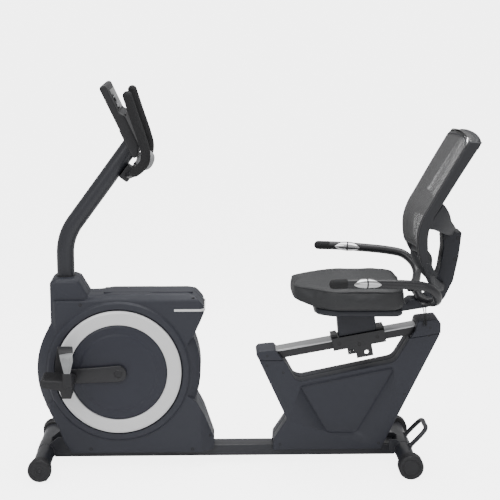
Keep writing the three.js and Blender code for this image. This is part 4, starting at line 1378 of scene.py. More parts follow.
@dataclass
class Cranks(Assembly):
    """The crank discs, their silver rings, both arms and what turns with them."""

    body: str = "crank"
    disc: float = 166.5
    ring_in: float = 167.5
    ring_out: float = 215.5

    def build(self) -> None:
        """Builds both sides."""
        for side, sign in (("left", -1.0), ("right", 1.0)):
            at = (CRANK[0], 0.0, CRANK[1])
            axis = (0.0, sign, 0.0)
            face = [
                (0, 104),
                (129, 104, 7),
                (137, 101, 7),
                (160, 101, 4),
                (self.disc, 97.5, 3),
                (self.disc, 89.5),
                (0, 89.5),
            ]
            self.fit(lathe(f"{side}_disc", face, at, axis, 144), "disc_plastic", f"{side}_crank_disc")
            trim = [
                (self.ring_in, 90),
                (self.ring_in, 101, 1.5),
                (self.ring_in + 4, 103, 2),
                (self.ring_out - 8, 103, 6),
                (self.ring_out, 99, 4),
                (self.ring_out, 90),
            ]
            made = lathe(f"{side}_ring", trim, at, axis, 180, True)
            self.fit(made, "ring_silver", f"{side}_disc_ring")
            self._arm(side, sign)

    def _arm(self, side: str, sign: float) -> None:
        """An arm: a tapered bar with round ends, its axle bolt and the pedal's threaded boss.

        Args:
            side: left or right; the left arm points forward and the right one back.
            sign: -1 on the left and 1 on the right.
        """
        tip = np.array(PEDAL) if sign < 0 else 2 * np.array(CRANK) - np.array(PEDAL)
        along = tip - np.array(CRANK)
        heading = math.atan2(along[1], along[0])
        root = arc(CRANK, 29, heading + 0.5 * math.pi, heading + 1.5 * math.pi)
        end = arc(tip, 25, heading - 0.5 * math.pi, heading + 0.5 * math.pi)
        low, high = sorted((sign * 105, sign * 118))
        bar = soft_plate(f"{side}_arm", np.concatenate([root, end]), low, high, 4)
        self.fit(bar, "black_paint", f"{side}_crank_arm")
        axis = (0.0, sign, 0.0)
        cap = [(0, 120.5), (12, 120.5, 1.5), (15, 117.6, 1), (15, 105), (0, 105)]
        self.fit(lathe(f"{side}_axle_cap", cap, (CRANK[0], 0, CRANK[1]), axis, 48), "black_plastic")
        boss = [(0, 121.8), (11, 121.8, 1), (14, 119, 1), (14, 105), (0, 105)]
        self.fit(lathe(f"{side}_spindle_boss", boss, (tip[0], 0, tip[1]), axis, 48), "black_paint")
        spindle = [(0, 227), (6.6, 227, 1), (6.6, 118), (0, 118)]
        self.fit(lathe(f"{side}_spindle", spindle, (tip[0], 0, tip[1]), axis, 40), "bracket_steel")


@dataclass
class Pedal(Assembly):
    """One pedal and the strap over it."""

    side: str = "left"
    shift: tuple[float, float] = (0.0, 0.0)
    inner: float = 130.0
    outer: float = 232.0

    def build(self) -> None:
        """Builds the pedal and its strap."""
        sign = -1.0 if self.side == "left" else 1.0
        self.body = f"{self.side}_pedal"
        tread = eased_copy(f"{self.side}_pedal", f"{self.side}_tread", 2.2)
        self.fit(tread, "black_plastic", f"{self.side}_pedal")
        x, z = PEDAL[0] + self.shift[0], PEDAL[1] + self.shift[1]
        for i in range(9):
            y = sign * (self.inner + 7 + i * 11)
            low, high = y - 1.6, y + 1.6
            crest = [(x - 82, z + 16, 3), (x - 76, z + 23.5, 3), (x + 12, z + 17.4, 3), (x + 18, z + 8, 3)]
            ridge = fillet(crest)
            self.fit(soft_plate(f"{self.side}_tread_rib_{i}", ridge, low, high, 0.8), "black_plastic")
        cap = [(0, 235), (7, 235, 1.5), (11, 232.5, 1), (11, 231), (0, 231)]
        self.fit(lathe(f"{self.side}_pedal_cap", cap, (x, 0, z), (0, sign, 0), 36), "black_plastic")
        for i, dx in enumerate((-62, -36)):
            bar = rectangle(x + dx - 9, z - 1, x + dx + 9, z + 9, 2)
            low, high = sorted((sign * (self.outer - 0.5), sign * (self.outer + 1.2)))
            self.fit(soft_plate(f"{self.side}_side_boss_{i}", bar, low, high, 0.6), "black_plastic")
        self._strap(x, z, sign)

    def _strap(self, x: float, z: float, sign: float) -> None:
        """The strap: a band whose middle line arches over the foot and whose width eases from the
        top to a narrow tongue at the outer end, with ribs.

        Args:
            x: The pedal axle's x.
            z: The pedal axle's z.
            sign: -1 on the left and 1 on the right.
        """
        outer, inner = self.outer + 1.9, self.inner - 1.0
        top = z + 121
        arch = spline(
            [
                (outer, z - 2),
                (outer + 0.5, z + 34),
                (outer - 1, z + 74),
                (outer - 14, z + 106),
                ((outer + inner) / 2, top),
                (inner + 14, z + 106),
                (inner + 1, z + 74),
                (inner - 0.6, z + 34),
                (inner, z + 8),
            ],
            96,
        )
        t = np.linspace(0, 1, len(arch))
        skew = 4 - 28 * np.clip((t - 0.3) / 0.6, 0, 1)
        path = np.stack([x + skew, sign * arch[:, 0], arch[:, 1]], 1)
        half = np.interp(t, [0, 0.1, 0.16, 0.3, 0.45, 1], [13, 9, 12, 22, 25, 24])
        flap, loop = slice(8, 42), slice(36, 96)
        outer_flap = sweep(f"{self.side}_strap_flap", path[flap], half[flap] - 1.5, 1.4, (1, 0, 0), 6, 5, 36)
        self.fit(outer_flap, "strap_plastic", f"{self.side}_pedal_strap")
        over = sweep(f"{self.side}_strap_loop", path[loop], half[loop], 1.9, (1, 0, 0), 4, 5, 36)
        self.fit(over, "black_plastic")
        tongue = sweep(f"{self.side}_strap_tongue", path[:16], 15.0, 2.2, (1, 0, 0), 3, 5, 36)
        self.fit(tongue, "black_plastic")
        for i, shift in enumerate((-0.5, 0.5)):
            wide = half[16:34] * shift
            rib_path = path[16:34] + np.stack([wide, np.full(18, sign * 1.6), np.zeros(18)], 1)
            rib = sweep(f"{self.side}_strap_rib_{i}", rib_path, 1.5, 1.2, (1, 0, 0), 1.5, sides=12)
            self.fit(rib, "strap_plastic")


@dataclass
class Mast(Assembly):
    """The console mast: a round tube with one long bend."""

    def axis(self, count: int = 140) -> Array:
        """The tube's middle line: upright, a quadratic bend about the elbow, and the leaning part.

        Args:
            count: Samples.

        Returns:
            The samples.
        """
        lean = np.array([math.sin(MAST_LEAN), 0, math.cos(MAST_LEAN)])
        elbow = np.array([MAST_X, 0, MAST_ELBOW_Z])
        before, after = elbow - [0, 0, 62.0], elbow + lean * 62
        t = np.linspace(0, 1, 40)[:, None]
        bend = (1 - t) ** 2 * before + 2 * t * (1 - t) * elbow + t**2 * after
        line = np.concatenate([[[MAST_X, 0, 232.0]], bend, [elbow + lean * 392]])
        return even(line, count)

    def build(self) -> None:
        """Builds the mast and a black ring where it enters the collar, painted shade for the gap between them.
        """
        tube = sweep("mast_tube", self.axis(), TUBE_R, TUBE_R, (0, 1, 0), 2, sides=72)
        self.fit(tube, "frame_paint", "console_mast")
        # A near-black ring round the mast at the collar's top: painted shade for the gap between collar and
        # mast.
        lip = [(29.5, 664), (33.5, 664), (33.5, 670.5, 1), (29.5, 671, 1)]
        gap_shade_ring = lathe("mast_gap_shade_ring", lip, (MAST_X, 0, 0), (0, 0, 1), 72, True)
        self.fit(gap_shade_ring, "wire_rubber")


@dataclass
class Console(Assembly):
    """The console: its shell, display and keys."""

    half: float = 120.0
    thin: float = 24.0
    thick: float = 38.0

    def at(self, down: float, out: float) -> tuple[float, float]:
        """A point in the side plane.

        Args:
            down: Distance down the back face from its top corner.
            out: Distance out of the back face.

        Returns:
            x and z.
        """
        c, s = math.cos(CONSOLE_LEAN), math.sin(CONSOLE_LEAN)
        return CONSOLE_TOP[0] + down * s + out * c, CONSOLE_TOP[1] - down * c + out * s

    @property
    def axes(self) -> Axes:
        """Across, down and out of the console's face."""
        c, s = math.cos(CONSOLE_LEAN), math.sin(CONSOLE_LEAN)
        return np.array([0, 1.0, 0]), np.array([s, 0, -c]), np.array([c, 0, s])

    def build(self) -> None:
        """Builds the console."""
        thin, thick = self.thin, self.thick
        upper = [(-10, -1, 12), (-10, thin, 12), (92, thin, 16), (110, thick, 16)]
        lower = [(220, thick, 18), (251, 18, 8), (251, 2, 6)]
        line = fillet([(*self.at(down, out), corner) for down, out, corner in upper + lower])
        shell = soft_plate("console_shell", line, -self.half, self.half, 6)
        self.fit(shell, "black_plastic", "console_body")
        origin = (CONSOLE_TOP[0], 0.0, CONSOLE_TOP[1])
        border = rectangle(-98, 8, 98, 92, 8)
        bezel = soft_plate("display_bezel", border, thin - 3, thin + 1.6, 1.4, self.axes, origin)
        self.fit(bezel, "black_plastic")
        window = rectangle(-88, 15, 88, 86, 4)
        glass = soft_plate("display_glass", window, thin - 1, thin + 2.1, 0.6, self.axes, origin)
        self.fit(glass, "screen", "console_screen")
        for i, y in enumerate((-60, -20, 20, 60)):
            bar = rectangle(y - 15, 40, y + 15, 44, 2)
            mark = soft_plate(f"display_segment_{i}", bar, thin + 1.6, thin + 2.3, 0.2, self.axes, origin)
            self.fit(mark, "cover_grey")
        for i, y in enumerate(np.linspace(-72, 72, 13)):
            tall = 6 + 16 * abs(math.sin(i * 0.9))
            bar = rectangle(y - 4, 78 - tall, y + 4, 78, 1)
            mark = soft_plate(f"display_bar_{i}", bar, thin + 1.6, thin + 2.3, 0.2, self.axes, origin)
            self.fit(mark, "cover_grey")
        for name, y in (("down", -40), ("mode", 0), ("up", 40)):
            key = rectangle(y - 9.5, 155.5, y + 9.5, 174.5, 4)
            made = soft_plate(f"{name}_button", key, thick - 3.5, thick + 1.8, 1.2, self.axes, origin)
            self.fit(made, "key_plastic", f"key_{name}", body=f"key_{name}")
            self._key_mark(name, y, origin)
        shelf = rectangle(-104, 104, 104, 113, 4)
        self.fit(soft_plate("reading_ledge", shelf, 32, 42, 3, self.axes, origin), "black_plastic")
        spread = fillet([(-46, 150, 12), (46, 150, 12), (34, 232, 12), (-34, 232, 12)])
        self.fit(soft_plate("mast_bracket", spread, -9, 3, 3, self.axes, origin), "black_plastic")

    def _key_mark(self, name: str, y: float, origin: Point) -> None:
        """A raised generic mark on a key: an arrow, or a dot on the middle one.

        Args:
            name: down, mode or up.
            y: The key's middle.
            origin: The console's top corner.
        """
        shapes = {
            "down": fillet([(y - 5, 162, 0.6), (y + 5, 162, 0.6), (y, 170, 0.6)]),
            "up": fillet([(y - 5, 169, 0.6), (y, 161, 0.6), (y + 5, 169, 0.6)]),
            "mode": rectangle(y - 3.5, 161.5, y + 3.5, 168.5, 3.2),
        }
        low, high = self.thick + 1.83, self.thick + 2.2
        mark = soft_plate(f"{name}_mark", shapes[name], low, high, 0.12, self.axes, origin)
        self.fit(mark, "cover_grey", body=f"key_{name}")


@dataclass
class FrontHandlebar(Assembly):
    """The U-shaped handlebar under the console, with foam sleeves."""

    def build(self) -> None:
        """Builds the bar, its sleeves, the saddle and the rounded cover."""
        arm = [(-366, -ARM_Y, 1108), (-376, -ARM_Y, 1150), (-404, -ARM_Y, 1236), (-423, -ARM_Y, 1294)]
        root = [(-429, -38, 1021), (-414, -80, 1031), (-388, -116, 1052), (-369, -136, 1078)]
        left = [*root, *arm]
        whole = spline([*mirrored(left)[::-1], (-430, 0, 1021), *left], 170)
        bar = sweep("front_bar", whole, 12.5, 12.5, (1, 0, 0.35), 3, sides=36)
        self.fit(bar, "black_paint", "front_handlebar")
        sleeve = [*root[1:], *arm[:3], (-427.5, -ARM_Y, 1311)]
        for side, line in (("left", sleeve), ("right", mirrored(sleeve))):
            foam = sweep(f"{side}_front_sleeve", spline(line, 90), 16, 16, (1, 0, 0.35), 16, sides=36)
            self.fit(foam, "grip_foam", f"{side}_front_grip")
        c, s = math.cos(MAST_LEAN), math.sin(MAST_LEAN)
        axes = (np.array([s, 0, c]), np.array([c, 0, -s]), np.array([0, 1.0, 0]))
        saddle = fillet([(-26, -22, 4), (26, -22, 4), (26, 12, 8), (-26, 12, 8)])
        self.fit(soft_plate("bar_saddle", saddle, -30, 30, 3, axes, (-430, 0, 1021)), "black_paint")
        for i, y in enumerate((-19, 19)):
            self.screw(f"saddle_bolt_{i}", (-430 + 12 * c, y, 1021 - 12 * s), (c, 0, -s), 5)
        self._cover()

    def _cover(self) -> None:
        """The rounded light grey cover over the bar's clamp: a superellipsoid, with radius
        |sin|^0.8 in rows from pole to pole."""
        latitude = np.linspace(-math.pi / 2, math.pi / 2, 40)
        longitude = np.linspace(0, 2 * math.pi, 64, endpoint=False)
        power = lambda v, e: np.sign(v) * np.abs(v) ** e
        ring = power(np.cos(latitude), 0.85)
        x = ring[:, None] * power(np.cos(longitude), 0.9)[None] * 30
        y = ring[:, None] * power(np.sin(longitude), 0.9)[None] * 40
        z = np.repeat((power(np.sin(latitude), 0.9) * 35)[:, None], 64, 1)
        c, s = math.cos(CONSOLE_LEAN), math.sin(CONSOLE_LEAN)
        turned = np.stack([x * c + z * s, y, z * c - x * s], -1)
        shell = rings("clamp_cover", turned + np.array([-374, 0, 1068]), 60)
        self.fit(shell, "cover_grey", "handlebar_cover")


@dataclass
class RearCovers(Assembly):
    """The moulded covers over the seat post frame, with the caps at both ends of the rail."""

    edge: float = 3.5

    def build(self) -> None:
        """Builds both covers, both caps and their screws."""
        side = fillet(
            [
                (61, 50),
                (64, 92),
                (110, 162, 16),
                (12, 374, 4),
                (97, 374, 4),
                (112, 352, 6),
                (137, 306, 20),
                (162, 299, 20),
                (484, 366, 40),
                (534, 450, 4),
                (641, 468, 4),
                (497, 170, 20),
                (440, 50),
            ]
        )
        for name, sign in (("left", -1.0), ("right", 1.0)):
            low, high = sorted((sign * 0.4, sign * COVER_HALF))
            shell = soft_plate(f"{name}_cover", side, low, high, self.edge)
            self._hollow(shell, side)
            self._panel(shell, sign)
            self.fit(shell, "cover_plastic", f"{name}_rear_cover")
            places = [(39, 356), (600, 460), (86, 70), (432, 72), (96, 330), (520, 250)]
            for i, (x, z) in enumerate(places):
                self.screw(f"{name}_cover_screw_{i}", (x, sign * COVER_HALF, z), (0, sign, 0), 4.6)
        self._caps()

    def _hollow(self, shell: bpy.types.Object, side: Array) -> None:
        """Cuts room for the beam, the cheeks, the legs and the rail out of a cover.

        Args:
            shell: The cover.
            side: The cover's outline.
        """
        beam = rectangle(-38, 20, 38, 64.6)
        self._cut(shell, soft_plate("beam_room", beam, -10, 620, 0.01, FACE))
        cheeks = rectangle(462, 30, 580, 84)
        self._cut(shell, soft_plate("cheek_room", cheeks, -46, 46, 0.01))
        inner = moved_in(side, [3.5])[0]
        self._cut(shell, soft_plate("inner_room", inner, -COVER_HALF + 9, COVER_HALF - 9, 0.01))
        rail = [on_rail(a, u) for a, u in ((-400, -36), (400, -36), (400, 20), (-400, 20))]
        self._cut(shell, soft_plate("rail_room", fillet(rail), -35.4, 35.4, 0.01))

    def _panel(self, shell: bpy.types.Object, sign: float) -> None:
        """Presses the recessed panel, with its rounded border, into a cover's side.

        Args:
            shell: The cover.
            sign: -1 on the left and 1 on the right.
        """
        face = fillet([(153, 279, 8), (489, 348, 14), (353, 110, 30), (248, 112, 30)])
        depth = 7.0
        low, high = sorted((sign * (COVER_HALF - depth), sign * (COVER_HALF + 9)))
        tool = soft_plate("panel_room", face, low, high, depth)
        self._cut(shell, tool)

    def _cut(self, shell: bpy.types.Object, room: bpy.types.Object) -> None:
        """Takes a room out of a shell and throws the room away.

        Args:
            shell: The piece that is cut.
            room: What is taken out.
        """
        step = shell.modifiers.new("room", "BOOLEAN")
        step.operation = "DIFFERENCE"
        step.solver = "EXACT"
        step.object = room
        settle(shell)
        bpy.data.objects.remove(room, do_unlink=True)

    def _caps(self) -> None:
        """The caps at the rail's ends."""
        front = fillet([(13, 374.4, 3), (98, 374.4, 3), (66, 412, 10), (12, 407, 8), (1, 396, 8)])
        rear = fillet(
            [(536, 450.8, 3), (641, 468.4, 3), (641, 503, 10), (630, 517, 10), (560, 510, 12), (553, 478, 6)]
        )
        for name, side in (("front", front), ("rear", rear)):
            cap = soft_plate(f"{name}_cap", side, -57, 57, 3)
            past = RAIL_HALF + 1
            start, stop = (-past, 0.0) if name == "front" else (0.0, past)
            room = [on_rail(a, u) for a, u in ((start, -33), (stop, -33), (stop, 0.3), (start, 0.3))]
            self._cut(cap, soft_plate("cap_room", fillet(room), -35.4, 35.4, 0.01))
            self.fit(cap, "cover_plastic", f"{name}_rail_cap")
            for side_name, sign in (("left", -1.0), ("right", 1.0)):
                x, z = ((40, 391) if name == "front" else (604, 488))
                self.screw(f"{name}_cap_{side_name}_screw", (x, sign * 57, z), (0, sign, 0), 4.2)


@dataclass
class SeatRail(Assembly):
    """The sloping rail's tube and the pale track on its top."""

    def build(self) -> None:
        """Builds the track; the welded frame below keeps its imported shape."""
        c, s = math.cos(RAIL_SLOPE), math.sin(RAIL_SLOPE)
        axes = (np.array([0, 1.0, 0]), np.array([-s, 0, c]), np.array([c, 0, s]))
        origin = (RAIL[0], 0.0, RAIL[1])
        section = fillet([(-35, -6, 1.2), (35, -6, 1.2), (35, 0, 1.6), (-35, 0, 1.6)])
        track = soft_plate("seat_track", section, -RAIL_HALF, RAIL_HALF, 0.6, axes, origin)
        self.fit(track, "track_alloy", "rail_track")
        tube = eased_copy("rear_frame", "seat_post_frame", 1.2)
        self.fit(tube, "black_paint", "rear_frame")
        for i, along in enumerate((-262, 262)):
            x, z = on_rail(along, 0.0)
            self.screw(f"track_screw_{i}", (x, 0.0, z), (-s, 0, c), 4.5)


@dataclass
class Seat(Assembly):
    """The carriage, the seat frame and the lock lever."""

    body: str = "seat"
    half: float = 40.0

    def build(self) -> None:
        """Builds the carriage and the frame."""
        self.fit(eased_copy("seat_carriage", "carriage", 1.0), "black_paint", "seat_carriage")
        lever = eased_copy("seat_lock_lever", "lock_lever", 1.6)
        self.fit(lever, "black_plastic", "seat_lock_lever", body="seat_lock_lever")
        for name, sign in (("left", -1.0), ("right", 1.0)):
            for i, (along, up) in enumerate(((-30, -16), (104, -16), (38, -30))):
                x, z = on_rail(along, up)
                self.screw(f"{name}_carriage_bolt_{i}", (x, sign * 42.2, z), (0, sign, 0), 6.2)
        self._frame()

    def _frame(self) -> None:
        """The post, the cheeks under the cushion and the upright behind it."""
        bx0, bz0 = on_rail(-27, 6)
        bx1, bz1 = on_rail(105, 6)
        post = fillet([(bx0, bz0, 2), (bx1, bz1, 2), (409, 569), (279, 569)])
        self.fit(soft_plate("seat_post", post, -34, 34, 4), "seat_paint", "seat_frame")
        spine = fillet(
            [
                (203, 540, 5),
                (203, 571, 5),
                (520, 571, 8),
                (536, 584, 10),
                (584, 584, 12),
                (606, 612, 16),
                (634, 690, 30),
                (644, 765, 30),
                (641, 820, 5),
                (708, 820, 5),
                (699, 735, 40),
                (682, 650, 40),
                (650, 582, 40),
                (596, 556, 40),
                (500, 541, 30),
            ]
        )
        self.fit(soft_plate("seat_spine", spine, -self.half, self.half, 4.5), "seat_paint")
        for name, sign in (("left", -1.0), ("right", 1.0)):
            for i, (x, z) in enumerate(((694, 800), (686, 726), (648, 800), (230, 556), (470, 556))):
                self.screw(f"{name}_spine_bolt_{i}", (x, sign * self.half, z), (0, sign, 0), 6.5)
        tray = fillet([(226, -150, 40), (226, 150, 40), (488, 170, 40), (488, -170, 40)])
        self.fit(soft_plate("seat_tray", tray, 571.5, 577.0, 1.5, PLAN), "black_plastic")
        nose = [(200, -140, 40), (200, 140, 40), (250, 178, 60)]
        base = fillet([*nose, (494, 186, 40), (494, -186, 40), (250, -178, 60)])
        self.fit(soft_plate("seat_pan", base, 557, 581, 9, PLAN), "seat_paint")
        knob = [(0, 606), (10, 606, 2), (13, 612, 3), (13, 624, 3), (9, 630, 3), (0, 630)]
        self.fit(lathe("seat_knob", knob, (540, 0, 0), (0, 0, 1), 40), "black_plastic")


@dataclass
class Cushion(Assembly):
    """The seat's cushion: a filled cover with a welt, over a dark pan."""

    body: str = "seat"
    voxel: float = 5.0
    pressure: float = 4.0

    def build(self) -> None:
        """Sews, fills and dresses the cushion."""
        cover = self._blank()
        self._fill(cover)
        smooth = cover.modifiers.new("smooth", "SUBSURF")
        smooth.levels = smooth.render_levels = 1
        self.fit(cover, "cushion", "seat_cushion")
        self._welt(cover)

    def _blank(self) -> bpy.types.Object:
        """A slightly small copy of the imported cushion, remeshed evenly.

        Returns:
            The blank.
        """
        mesh = frame["nodes"]["seat_cushion"].data.copy()
        cover = bpy.data.objects.new("cushion_cover", mesh)
        bpy.context.scene.collection.objects.link(cover)
        work = bmesh.new()
        work.from_mesh(mesh)
        bmesh.ops.remove_doubles(work, verts=work.verts, dist=2e-5)
        low, high = (np.array(corner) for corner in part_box("seat_cushion"))
        middle = Vector(((low + high) / 2).tolist())
        size = high - low
        shrink = [(side - 0.010) / side for side in size]
        bmesh.ops.translate(work, verts=work.verts, vec=-middle)
        bmesh.ops.scale(work, verts=work.verts, vec=shrink)
        bmesh.ops.translate(work, verts=work.verts, vec=middle)
        work.to_mesh(mesh)
        work.free()
        step = cover.modifiers.new("even", "REMESH")
        step.mode = "VOXEL"
        step.voxel_size = self.voxel * MM
        ease = cover.modifiers.new("ease", "SMOOTH")
        ease.factor = 0.5
        ease.iterations = 6
        settle(cover)
        mesh = cover.data
        mesh.shade_smooth()
        return cover

    def _fill(self, cover: bpy.types.Object) -> None:
        """Fills the cover: cloth under pressure, pinned where it is stapled to the pan.

        Args:
            cover: The remeshed cover.
        """
        group = cover.vertex_groups.new(name="stapled")
        co = np.empty(len(cover.data.vertices) * 3)
        cover.data.vertices.foreach_get("co", co)
        start = co.reshape(-1, 3).copy()
        held = np.flatnonzero(start[:, 2] < start[:, 2].min() + 0.004)
        group.add(held.tolist(), 1.0, "REPLACE")
        cloth = cover.modifiers.new("cloth", "CLOTH")
        cloth.settings.quality = 4
        cloth.settings.mass = 0.3
        cloth.settings.tension_stiffness = 60
        cloth.settings.compression_stiffness = 60
        cloth.settings.shear_stiffness = 30
        cloth.settings.bending_stiffness = 12
        cloth.settings.use_pressure = True
        cloth.settings.uniform_pressure_force = self.pressure
        cloth.settings.vertex_group_mass = "stapled"
        cloth.settings.effector_weights.gravity = 0
        cloth.collision_settings.use_collision = False
        scene = bpy.context.scene
        scene.frame_start, scene.frame_end = 1, 20
        cloth.point_cache.frame_start, cloth.point_cache.frame_end = 1, 20
        for step in range(1, 21):
            scene.frame_set(step)
        settle(cover)
        mesh = cover.data
        now = np.empty(len(mesh.vertices) * 3)
        mesh.vertices.foreach_get("co", now)
        move = now.reshape(-1, 3) - start
        length = np.linalg.norm(move, axis=1)[:, None]
        most = 0.006
        move *= np.minimum(1.0, most / np.maximum(length, 1e-9))
        mesh.vertices.foreach_set("co", (start + move).ravel())
        mesh.update()
        calm = cover.modifiers.new("calm", "SMOOTH")
        calm.factor = 0.5
        calm.iterations = 10
        settle(cover)
        cover.data.shade_smooth()
        scene.frame_set(1)
        log.info("cushion: moved up to %.1f mm", float(length.max()) * 1000)

    def _welt(self, cover: bpy.types.Object) -> None:
        """The welt between the top panel and the boxing.

        Args:
            cover: The finished cover.
        """
        path = self._outline(cover, 0.6445) * 1000
        out = path[:, :2] - path.mean(0)[:2]
        out /= np.linalg.norm(out, axis=1)[:, None]
        path[:, :2] -= out * 2.0
        self.fit(closed_cord("cushion_welt", path, 2.6), "cushion")

    def _outline(self, cover: bpy.types.Object, height: float) -> Array:
        """The cover's outline at one height, as an even closed line of points.

        Args:
            cover: The cover.
            height: The height, in metres.

        Returns:
            The points, in metres.
        """
        co = np.empty(len(cover.data.vertices) * 3)
        cover.data.vertices.foreach_get("co", co)
        co = co.reshape(-1, 3)
        near = co[np.abs(co[:, 2] - height) < 0.004]
        middle = (co[:, :2].min(0) + co[:, :2].max(0)) / 2
        angle = np.arctan2(near[:, 1] - middle[1], near[:, 0] - middle[0])
        span = np.linalg.norm(near[:, :2] - middle, axis=1)
        bins = np.linspace(-math.pi, math.pi, 181)
        where = np.clip(np.digitize(angle, bins) - 1, 0, 179)
        reach = np.zeros(180)
        np.maximum.at(reach, where, span)
        mid = (bins[:-1] + bins[1:]) / 2
        good = reach > 0
        reach = np.interp(mid, mid[good], reach[good], period=2 * math.pi)
        for _ in range(3):
            reach = (np.roll(reach, 1) + 2 * reach + np.roll(reach, -1)) / 4
        flat = middle + reach[:, None] * np.stack([np.cos(mid), np.sin(mid)], 1)
        return np.concatenate([flat, np.full((180, 1), height)], 1)


@dataclass
class SideHandlebar(Assembly):
    """The bar round the seat, its foam ends and the pulse sensors."""

    body: str = "seat"
    radius: float = 15.4
    grip: float = 15.8

    def path(self) -> Array:
        """The bar's middle line on the left, from its tip to the centre plane.

        Returns:
            The samples.
        """
        return spline(
            [
                (244, -345, 706),
                (320, -333, 705),
                (500, -303, 693),
                (552, -290, 682),
                (586, -267, 655),
                (596, -240, 630),
                (589, -195, 611),
                (574, -140, 602),
                (566, -80, 599),
                (566, 0, 599),
            ],
            200,
        )

    def build(self) -> None:
        """Builds the handlebar."""
        left = self.path()
        whole = np.concatenate([left, (left * [1, -1, 1])[-2::-1]])
        bar = sweep("seat_bar", whole, self.radius, self.radius, (0, 0, 1), 3, sides=40)
        self.fit(bar, "black_paint", "side_handlebar")
        run = np.concatenate([[0], np.cumsum(np.linalg.norm(np.diff(left, axis=0), axis=1))])
        back = left[0] + (left[0] - left[1]) / np.linalg.norm(left[0] - left[1]) * 16
        end = 0.085 * run[-1]
        sensor = 0.245 * run[-1]
        for name, sign in (("left", 1.0), ("right", -1.0)):
            flip = np.array([1, sign, 1])
            foam = np.concatenate([[back], self._stretch(left, run, 0, end, 16)])
            line = even(foam, 40) * flip
            sleeve = sweep(f"{name}_seat_sleeve", line, self.grip, self.grip, (0, 0, 1), 15.5, sides=40)
            self.fit(sleeve, "grip_foam", f"{name}_side_grip")
            self._sensor(name, self._stretch(left, run, end + 1.5, sensor, 60) * flip)

    def _stretch(self, line: Array, run: Array, start: float, stop: float, count: int) -> Array:
        """Even points on a stretch of a line.

        Args:
            line: The line.
            run: The distance along it at each of its points.
            start: Where the stretch starts.
            stop: Where it stops.
            count: Samples.

        Returns:
            The samples.
        """
        at = np.linspace(start, stop, count)
        return np.stack([np.interp(at, run, line[:, i]) for i in range(3)], 1)

    def _sensor(self, name: str, line: Array) -> None:
        """A pulse sensor: a polished spindle let into the bar, with a dark band round its middle.

        Args:
            name: left or right.
            line: The middle line under the sensor.
        """
        t = np.linspace(-1, 1, len(line))
        tall = 17.0 * np.sqrt(np.clip(1 - t**2, 0.01, 1))
        thick = 18.6 * np.clip(1 - t**2, 0.01, 1) ** 0.12
        core = sweep(f"{name}_pulse_plate", line, tall, thick, (0, 0, 1), 1.0, sides=56)
        self.fit(core, "sensor_metal", f"{name}_pulse_sensor")
        middle = line[len(line) // 2 - 2 : len(line) // 2 + 2]
        band = sweep(f"{name}_pulse_band", middle, 17.6, 19.2, (0, 0, 1), 0.8, sides=56)
        self.fit(band, "black_plastic")


